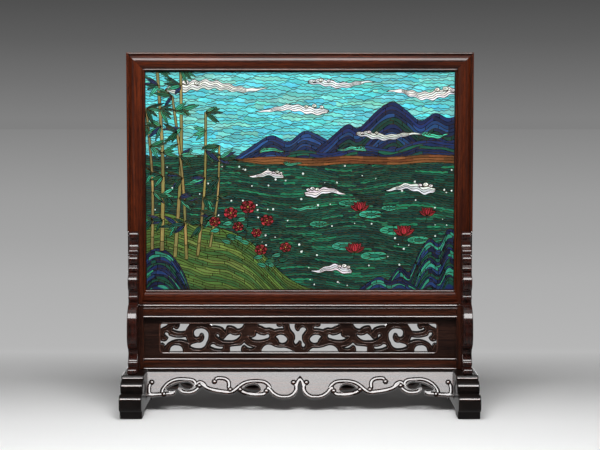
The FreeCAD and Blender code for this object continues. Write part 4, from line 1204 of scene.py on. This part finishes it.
class SCREEN_OT_stand(bpy.types.Operator):
    """Feet, posts, spandrels and rails of the stand"""

    bl_idname = "table_screen.stand"
    bl_label = "Stand"

    def execute(self, context):
        sizes = context.scene.screen_sizes
        colours = context.scene.screen_colours
        black_wood = wood_for("blackened_rosewood", "Y", colours.foot_dark, colours.foot_light, 0.08, 0.35)
        carved_wood = wood_for("carved_rosewood", "Z", colours.stand_dark, colours.carved_light,
                               0.07, 0.8, 1.6)
        for node in FEET:
            eased(node, sizes.arris * 1.6, black_wood, *ON_STAND)
            for side, way in SIDES:
                self.foot_flats(node, side, way, sizes)
        for node in POSTS:
            eased(node, sizes.arris, stand_wood("Z"), *ON_STAND)
        for node in SPANDRELS:
            eased(node, sizes.arris, carved_wood, *ON_STAND)
        for node, flats in RAIL_FLATS.items():
            stained((node,), stand_wood("X", polish=0.45))
            for side, way in SIDES:
                self.rail_lines(node, flats, side, way)
        for node in SPANDRELS:
            self.spandrel_beads(node, sizes.spandrel_bead, carved_wood)
        return {"FINISHED"}

    def shoulders(self, node, way, normal):
        """Rows of facets, from low to high, that face the worn way on the outer half of a foot's end."""
        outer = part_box(node)[1].y / 2
        facing = [p for p in NODES[node].data.polygons
                  if p.normal.dot(normal) > 0.96 and p.center.y * way > outer]
        rows = []
        for facet in sorted(facing, key=lambda p: p.center.z):
            if not rows or facet.center.z - rows[-1][-1].center.z > 4 * MM:
                rows.append([])
            rows[-1].append(facet)
        return rows

    def foot_flats(self, node, side, way, sizes):
        """Worn flats across the shoulders at one end of a foot, in the beads' lighter wood, a painted
        highlight; the top one lies on its roll's brow.
        """
        low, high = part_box(node)
        ease = 2 * sizes.arris
        width = 0.75 * sizes.flat_width
        brow = Vector((0, 0.5 * way, -2.6)) * MM
        normal = worn_way(way)
        rows = self.shoulders(node, way, normal)
        for number, row in enumerate(rows):
            best = max(row, key=lambda p: p.normal.dot(normal)).normal
            corners = [NODES[node].data.vertices[i].co for p in row if p.normal.dot(best) > 0.9999
                       for i in p.vertices]
            lift = 0.05 * MM + width * math.sin(best.angle(normal))
            middle = sum(corners, Vector()) / len(corners) + normal * lift
            if row is rows[-1]:
                middle += brow
            ends = [(x, middle.y, middle.z) for x in (low.x + ease, high.x - ease)]
            beads(f"{node}_{side}_flat_{number}", [(ends, False)], plane_at(middle, normal),
                  (width, 0.07 * sizes.flat_width, STRAIGHT, 10), polished_wood(), *ON_STAND)

    def rail_lines(self, node, flats, side, way):
        """Worn flats along one side of a rail, and dark strips of painted shade in its quirks."""
        low, high = (corner.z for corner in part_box(node))
        half = -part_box("post_left")[1].x
        edges = [(low + a * (high - low), low + b * (high - low), half) for a, b in flats]
        rubbed_flats(f"{node}_{side}_flats", node, edges, way, *ON_STAND)
        y = way * max(p.co.y * way for p in NODES[node].data.vertices if p.co.z < low + HAIR)
        levels = [low + share * (high - low) for share in RAIL_QUIRKS]
        # painted shade: dark strips where the quirks lie in shade
        quirks = [([(-half, y, z), (half, y, z)], False) for z in levels]
        beads(f"{node}_{side}_quirks", quirks, plane_at((0, y, low), (0, way, 0)),
              (0.6 * MM, 0.08 * MM, half, 6), painted_shade(), *ON_STAND)

    def spandrel_beads(self, node, radius, wood):
        """Bead inside the outline on both sides of a spandrel."""
        for side, way in (("left", -1), ("right", 1)):
            loops, normal = plane_loops(node, (way, 0, 0))
            outer = max(loops, key=len)
            beads(f"{node}_{side}_bead", [(inset(outer, normal, 4 * radius), True)],
                  plane_at(outer[0], normal, (0, 1, 0)), (radius, radius * 0.7, 1.2 * MM, 8), wood,
                  *ON_STAND)


class SCREEN_OT_waist(bpy.types.Operator):
    """Pierced waist panel, with its beads"""

    bl_idname = "table_screen.waist"
    bl_label = "Waist"

    def execute(self, context):
        sizes = context.scene.screen_sizes
        colours = context.scene.screen_colours
        wood = wood_for("waist_rosewood", "X", colours.waist_dark, colours.waist_light, polish=0.2)
        stained(("waist_panel",), wood)
        for side, way in SIDES:
            low, high = self.opening(side, way, sizes)
            self.fret(side, way, low, high, sizes.fret_bead)
        return {"FINISHED"}

    def opening(self, side, way, sizes):
        """Bead round the opening and the worn flat below it, both in the beads' lighter wood, a painted
        highlight; gives the opening's corners.
        """
        rims, normal = plane_loops("waist_panel", (0, way, 0))
        rim = min(rims, key=lambda loop: max(p.x for p in loop))
        radius = sizes.opening_bead
        beads(f"opening_bead_{side}", [(inset(rim, normal, radius), True)], plane_at(rim[0], normal),
              (radius, radius * 0.8, 2 * MM, 10), polished_wood(), *ON_STAND)
        low, high = (Vector([pick(p[i] for p in rim) for i in range(3)]) for pick in (min, max))
        spot = Vector((0, rim[0].y + 0.65 * radius * way, low.z - 0.43 * radius))
        corner = 4 * MM
        ends = [(x, spot.y, spot.z) for x in (low.x + corner, high.x - corner)]
        beads(f"opening_flat_{side}", [(ends, False)], plane_at(spot, worn_way(way)),
              (0.4 * sizes.flat_width, 0.04 * sizes.flat_width, STRAIGHT, 10), polished_wood(), *ON_STAND)
        return low, high

    def fret(self, side, way, low, high, radius):
        """Beads along the fret's piercings, lighter in tone as a painted highlight, with dark strips of
        painted shade beside them, clear of the opening's sides.
        """
        sunk = [abs(p.co.y) for p in NODES["waist_panel"].data.vertices
                if low.x < p.co.x < high.x and low.z < p.co.z < high.z and p.co.y * way > 0
                and abs(p.co.y) < abs(low.y) - 0.5 * MM]
        loops, normal = plane_loops("waist_panel", (0, way, 0), max(sunk))
        edge = 0.1 * MM
        lines, grooves = [], []
        for loop in loops:
            clear = [low.x + edge < p.x < high.x - edge and low.z + edge < p.z < high.z - edge for p in loop]
            lines += kept_runs(inset(loop, normal, radius * 2.4), clear)
            grooves += kept_runs(inset(loop, normal, radius * 1.6), clear)
        plane = plane_at(loops[0][0], normal)
        beads(f"fret_beads_{side}", lines, plane, (radius, radius * 0.8, 0.8 * MM, 8), polished_wood(),
              *ON_STAND)
        beads(f"fret_grooves_{side}", grooves, plane, (radius * 2.7, 0.06 * MM, 1.2 * MM, 6), painted_shade(),
              *ON_STAND)


class SCREEN_OT_aprons(bpy.types.Operator):
    """Sloping aprons, with their edge beads and scrolls"""

    bl_idname = "table_screen.aprons"
    bl_label = "Aprons"

    def execute(self, context):
        sizes = context.scene.screen_sizes
        wood = stand_wood("X", "apron_rosewood", 0.2, 1)
        for node, (_, way) in zip(APRONS, SIDES):
            eased(node, sizes.arris * 0.7, wood, *ON_STAND)
            slopes = [p.normal for p in NODES[node].data.polygons
                      if p.normal.y * way > 0.5 and p.normal.z > 0.2]
            loops, normal = plane_loops(node, sum(slopes, Vector()))
            self.relief(node, loops, normal, sizes)
        return {"FINISHED"}

    def relief(self, node, loops, normal, sizes):
        """Edge beads, thin rims, scrolls and knobs on an apron's slope, with painted shade beside them: dark
        strips along the edge and the scrolls, a dark line under the rail and dark rings round the knobs.
        """
        spots = [p for loop in loops for p in loop]
        top, bottom = (pick(p.z for p in spots) for pick in (max, min))
        head = next(p for p in spots if p.z > top - HAIR)
        down = normal.cross((1, 0, 0)).normalized()
        down = down if down.z < 0 else -down
        slope = (top - bottom) / -down.z
        half = -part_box("foot_left")[1].x
        radius = sizes.apron_bead

        def spot(u, v):
            """Place from its shares of the half length and of the slope."""
            return Vector((u * half, head.y, top)) + down * (v * slope)

        edges, rims, grooves = self.edge_lines(loops, normal, top, bottom, half, sizes)
        # painted shadow: a dark line along the apron's top, under the rail
        grooves.append(([spot(-1, 0.045), spot(1, 0.045)], False, [1.5, 1.5]))
        scrolls, knobs = [], []
        for points, *knobbed in APRON_SCROLLS:
            line = smooth_line(points, 6)
            last = len(line) - 1
            shares = [min(0.95, 0.6 + 0.08 * min(k, last - k)) for k in range(last + 1)]
            for side in (1, -1):
                scroll = [spot(side * u, v) for u, v in line]
                scrolls.append((scroll, False, shares))
                knobs += [(scroll[end], radius * 1.6) for end, knob in zip((0, -1), knobbed) if knob]
        ringed = [(place, size * 1.45) for place, size in knobs]
        plane = plane_at(head, normal)
        step = 0.9 * MM
        wood = stand_wood("X", "polished_apron_rosewood", 0.07, 1, 1.7)
        dark = painted_shade()
        beads(f"{node}_beads", edges + scrolls, plane, (radius, radius * 0.11, step, 10), wood, *ON_STAND)
        beads(f"{node}_rims", rims, plane, (sizes.rim_bead, sizes.rim_bead * 0.2, step, 8), wood, *ON_STAND)
        drops(f"{node}_knobs", knobs, plane, 0.2, wood, *ON_STAND)
        # painted shade: dark strips beside the edge beads and scrolls, and dark rings round the knobs
        beads(f"{node}_edge_grooves", grooves, plane, (radius * 0.6, 0.06 * MM, step, 6), dark, *ON_STAND)
        beads(f"{node}_scroll_grooves", scrolls, plane, (radius * 1.8, 0.05 * MM, step, 6), dark, *ON_STAND)
        drops(f"{node}_knob_grooves", ringed, plane, 0.09, dark, *ON_STAND)

    def edge_lines(self, loops, normal, top, bottom, half, sizes):
        """Lines of an apron's edge bead, of the thin rims round its piercings and of the dark strip of
        painted shade beside the edge bead.
        """
        radius = sizes.apron_bead
        near, far, deep = 0.69, 0.885, 0.74  # shares between which the outline runs round an open piercing
        edges, rims, grooves = [], [], []
        for loop in loops:
            shares = [(top - p.z) / (top - bottom) for p in loop]
            free = [p.z < top - 1 * MM and abs(p.x) < half for p in loop]
            lens = max(shares) < 0.9
            pierced = [lens or near < abs(p.x) / half < far and share < deep
                       for p, share in zip(loop, shares)]
            outer = [a and not b for a, b in zip(free, pierced)]
            inner = [a and b for a, b in zip(free, pierced)]
            edges += kept_runs(inset(loop, normal, radius), outer)
            rims += kept_runs(inset(loop, normal, sizes.rim_bead), inner)
            grooves += kept_runs(inset(loop, normal, radius * 2.3), outer)
        return edges, rims, grooves


class SCREEN_OT_frame(bpy.types.Operator):
    """Moulded frame and its back"""

    bl_idname = "table_screen.frame"
    bl_label = "Frame"

    def execute(self, context):
        colours = context.scene.screen_colours
        # the right stile is darker, painted shade where the light falls off to the right; the crest is
        # darker too and waxed more
        for name, node, along, share, polish in (
                ("frame_rosewood", "stile_left", "Z", 1, 0.1),
                ("shaded_frame_rosewood", "stile_right", "Z", 0.65, 0.1),
                ("crest_rosewood", "top_rail", "X", 0.75, 0.6),
                ("dull_frame_rosewood", "bottom_rail", "X", 1, 0.12)):
            light = [c * share for c in colours.frame_light]
            stained((node,), wood_for(name, along, colours.frame_dark, light, 0.14, polish))
        for nodes, along in ((("back_board",), "X"), (BATTENS, "Z")):
            stained(nodes, wood_for("back_board_wood", along, colours.board_dark, colours.board_light, 0.3))
        low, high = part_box("stile_right")
        face = high.x - low.x
        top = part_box("top_rail")[0].z
        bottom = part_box("bottom_rail")[1].z
        self.flats(low.x, top, bottom, face)
        self.quirks(low.x, top, bottom, face, low.z)
        return {"FINISHED"}

    def flats(self, sight, top, bottom, face):
        """Worn flats on the rails' beads; sight is half the width that the frame leaves open."""
        bead = 0.12 * face
        crest = top + face
        edges = [(top, top + bead, sight), (crest - bead, crest, sight + face - bead)]
        rubbed_flats("top_rail_flats", "top_rail", edges, -1, *ON_FRAME)
        rubbed_flats("bottom_rail_flats", "bottom_rail", [(bottom - bead, bottom, sight)], -1, *ON_FRAME)

    def quirks(self, sight, top, bottom, face, foot):
        """Dark lines of painted shade in the quirks beside the frame's beads; the outer ones on the stiles
        end at the stiles' steps.
        """
        y = min(p.co.y for p in NODES["top_rail"].data.vertices if p.co.z < top + HAIR)
        inner, outer = 0.13 * face, 0.85 * face
        step = min(p.co.z for p in NODES["stile_right"].data.vertices if p.co.x > sight + outer)
        upright = ((sight + inner, bottom - inner, top + inner), (sight + outer, step + 1 * MM, top + outer))
        level = ((sight + inner, top + inner), (sight + inner, bottom - inner), (sight + outer, top + outer),
                 (sight, foot + 0.15 * (bottom - foot)))
        lines = [[(x * way, y, low), (x * way, y, high)] for way in (1, -1) for x, low, high in upright]
        lines += [[(-half, y, z), (half, y, z)] for half, z in level]
        beads("frame_quirks", [(line, False) for line in lines], plane_at((0, y, 0), (0, -1, 0)),
              (0.55 * MM, 0.08 * MM, STRAIGHT, 6), painted_shade(), *ON_FRAME)


class SCREEN_OT_plaque(bpy.types.Operator):
    """Copper tray and the cloisonne picture in it"""

    bl_idname = "table_screen.plaque"
    bl_label = "Plaque"

    def execute(self, context):
        sizes = context.scene.screen_sizes
        stained(("plaque_tray",), aged_metal("beaten_copper", linear("#b0703f"), linear("#5c3a22"), 0.38))
        stained(("enamel_face",), clouded_enamel("ground_enamel", "#08302a", "#0f4a3c", 9 * MM))
        bronze = aged_metal("bronze_wire", tuple(context.scene.screen_colours.wire), linear("#1e1710"), 0.5)
        gap = 0.2 * MM
        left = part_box("stile_left")[1].x + gap
        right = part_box("stile_right")[0].x - gap
        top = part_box("top_rail")[0].z - gap
        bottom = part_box("bottom_rail")[1].z + gap
        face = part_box("enamel_face")[0].y
        plane = plane_at((left, face, top), (0, -1, 0))
        picture = EnamelPicture((right - left) / MM, (top - bottom) / MM, SEED)
        paint_picture(picture, {name: [linear(c) for c in row] for name, row in PICTURE_TONES.items()})
        cells = plated("enamel_cells", picture, left, top, face, sizes.enamel_step, fired_enamel())
        carried(cells, "screen")

        def place(point, level):
            """Place of a point of the picture, some levels over the enamel's face."""
            return left + point[0] * MM, face - level * sizes.enamel_step, top - point[1] * MM

        levels = picture.levels()
        wires = [([place(p, levels[layer]) for p in points], closed)
                 for layer, points, closed in picture.shown_wires()]
        beads("cloison_wires", wires, plane, (sizes.wire, sizes.wire * 0.16, 1.6 * MM, 4), bronze,
              "screen", "copper")
        self.foam(picture, place, plane, sizes.foam_drops)
        head = top - 1 * MM
        rebate = (((left, head), (right, head)), ((left, bottom), (right, bottom)),
                  ((left, top), (left, bottom)), ((right, top), (right, bottom)))
        beads("rebate_shadow", [([(x, face, z) for x, z in line], False) for line in rebate], plane,
              (0.9 * MM, 0.2 * MM, STRAIGHT, 6), painted_shade(), "screen", "copper")
        return {"FINISHED"}

    def foam(self, picture, place, plane, tries):
        """White drops of foam, kept clear of everything that lies on the water."""
        chance = random.Random(SEED + 1)
        shore, edge = 152, 4
        spots = []
        for _ in range(tries):
            x = chance.uniform(edge, picture.width - edge)
            y = chance.uniform(shore, picture.height - edge)
            radius = chance.uniform(0.7, 1.9) * MM
            spot = np.array([[x, y]])
            if max(layer for layer, outline, _ in picture.cells if inside(spot, outline)[0]) <= 1:
                spots.append((place((x, y), 2), radius))
        white = clouded_enamel("white_enamel", "#c8ccc8", "#eceee9", 4 * MM)
        drops("foam_drops", spots, plane, 0.3, white, "screen", "enamel")


OPERATORS = (SCREEN_OT_stage, SCREEN_OT_stand, SCREEN_OT_waist, SCREEN_OT_aprons, SCREEN_OT_frame,
             SCREEN_OT_plaque)
GROUPS = (("screen_sizes", ScreenSizes), ("screen_colours", ScreenColours),
          ("screen_studio", StudioSettings))


class SCREEN_PT_panel(bpy.types.Panel):
    """Table screen's pieces and settings"""

    bl_label = "Table Screen"
    bl_space_type = "VIEW_3D"
    bl_region_type = "UI"
    bl_category = "Table Screen"

    def draw(self, context):
        for operator in OPERATORS:
            self.layout.operator(operator.bl_idname)
        for name, group in GROUPS:
            box = self.layout.box()
            for prop in group.__annotations__:
                box.prop(getattr(context.scene, name), prop)


CLASSES = tuple(group for _, group in GROUPS) + OPERATORS + (SCREEN_PT_panel,)


def register():
    """Registers the classes and gives each scene its settings."""
    for cls in CLASSES:
        bpy.utils.register_class(cls)
    for name, group in GROUPS:
        setattr(bpy.types.Scene, name, PointerProperty(type=group))


def unregister():
    """Takes the settings and the classes away again."""
    for name, _ in GROUPS:
        delattr(bpy.types.Scene, name)
    for cls in reversed(CLASSES):
        bpy.utils.unregister_class(cls)


def main():
    register()
    bpy.ops.table_screen.stage()
    bpy.ops.table_screen.stand()
    bpy.ops.table_screen.waist()
    bpy.ops.table_screen.aprons()
    bpy.ops.table_screen.frame()
    bpy.ops.table_screen.plaque()


if __name__ == "__main__":
    main()
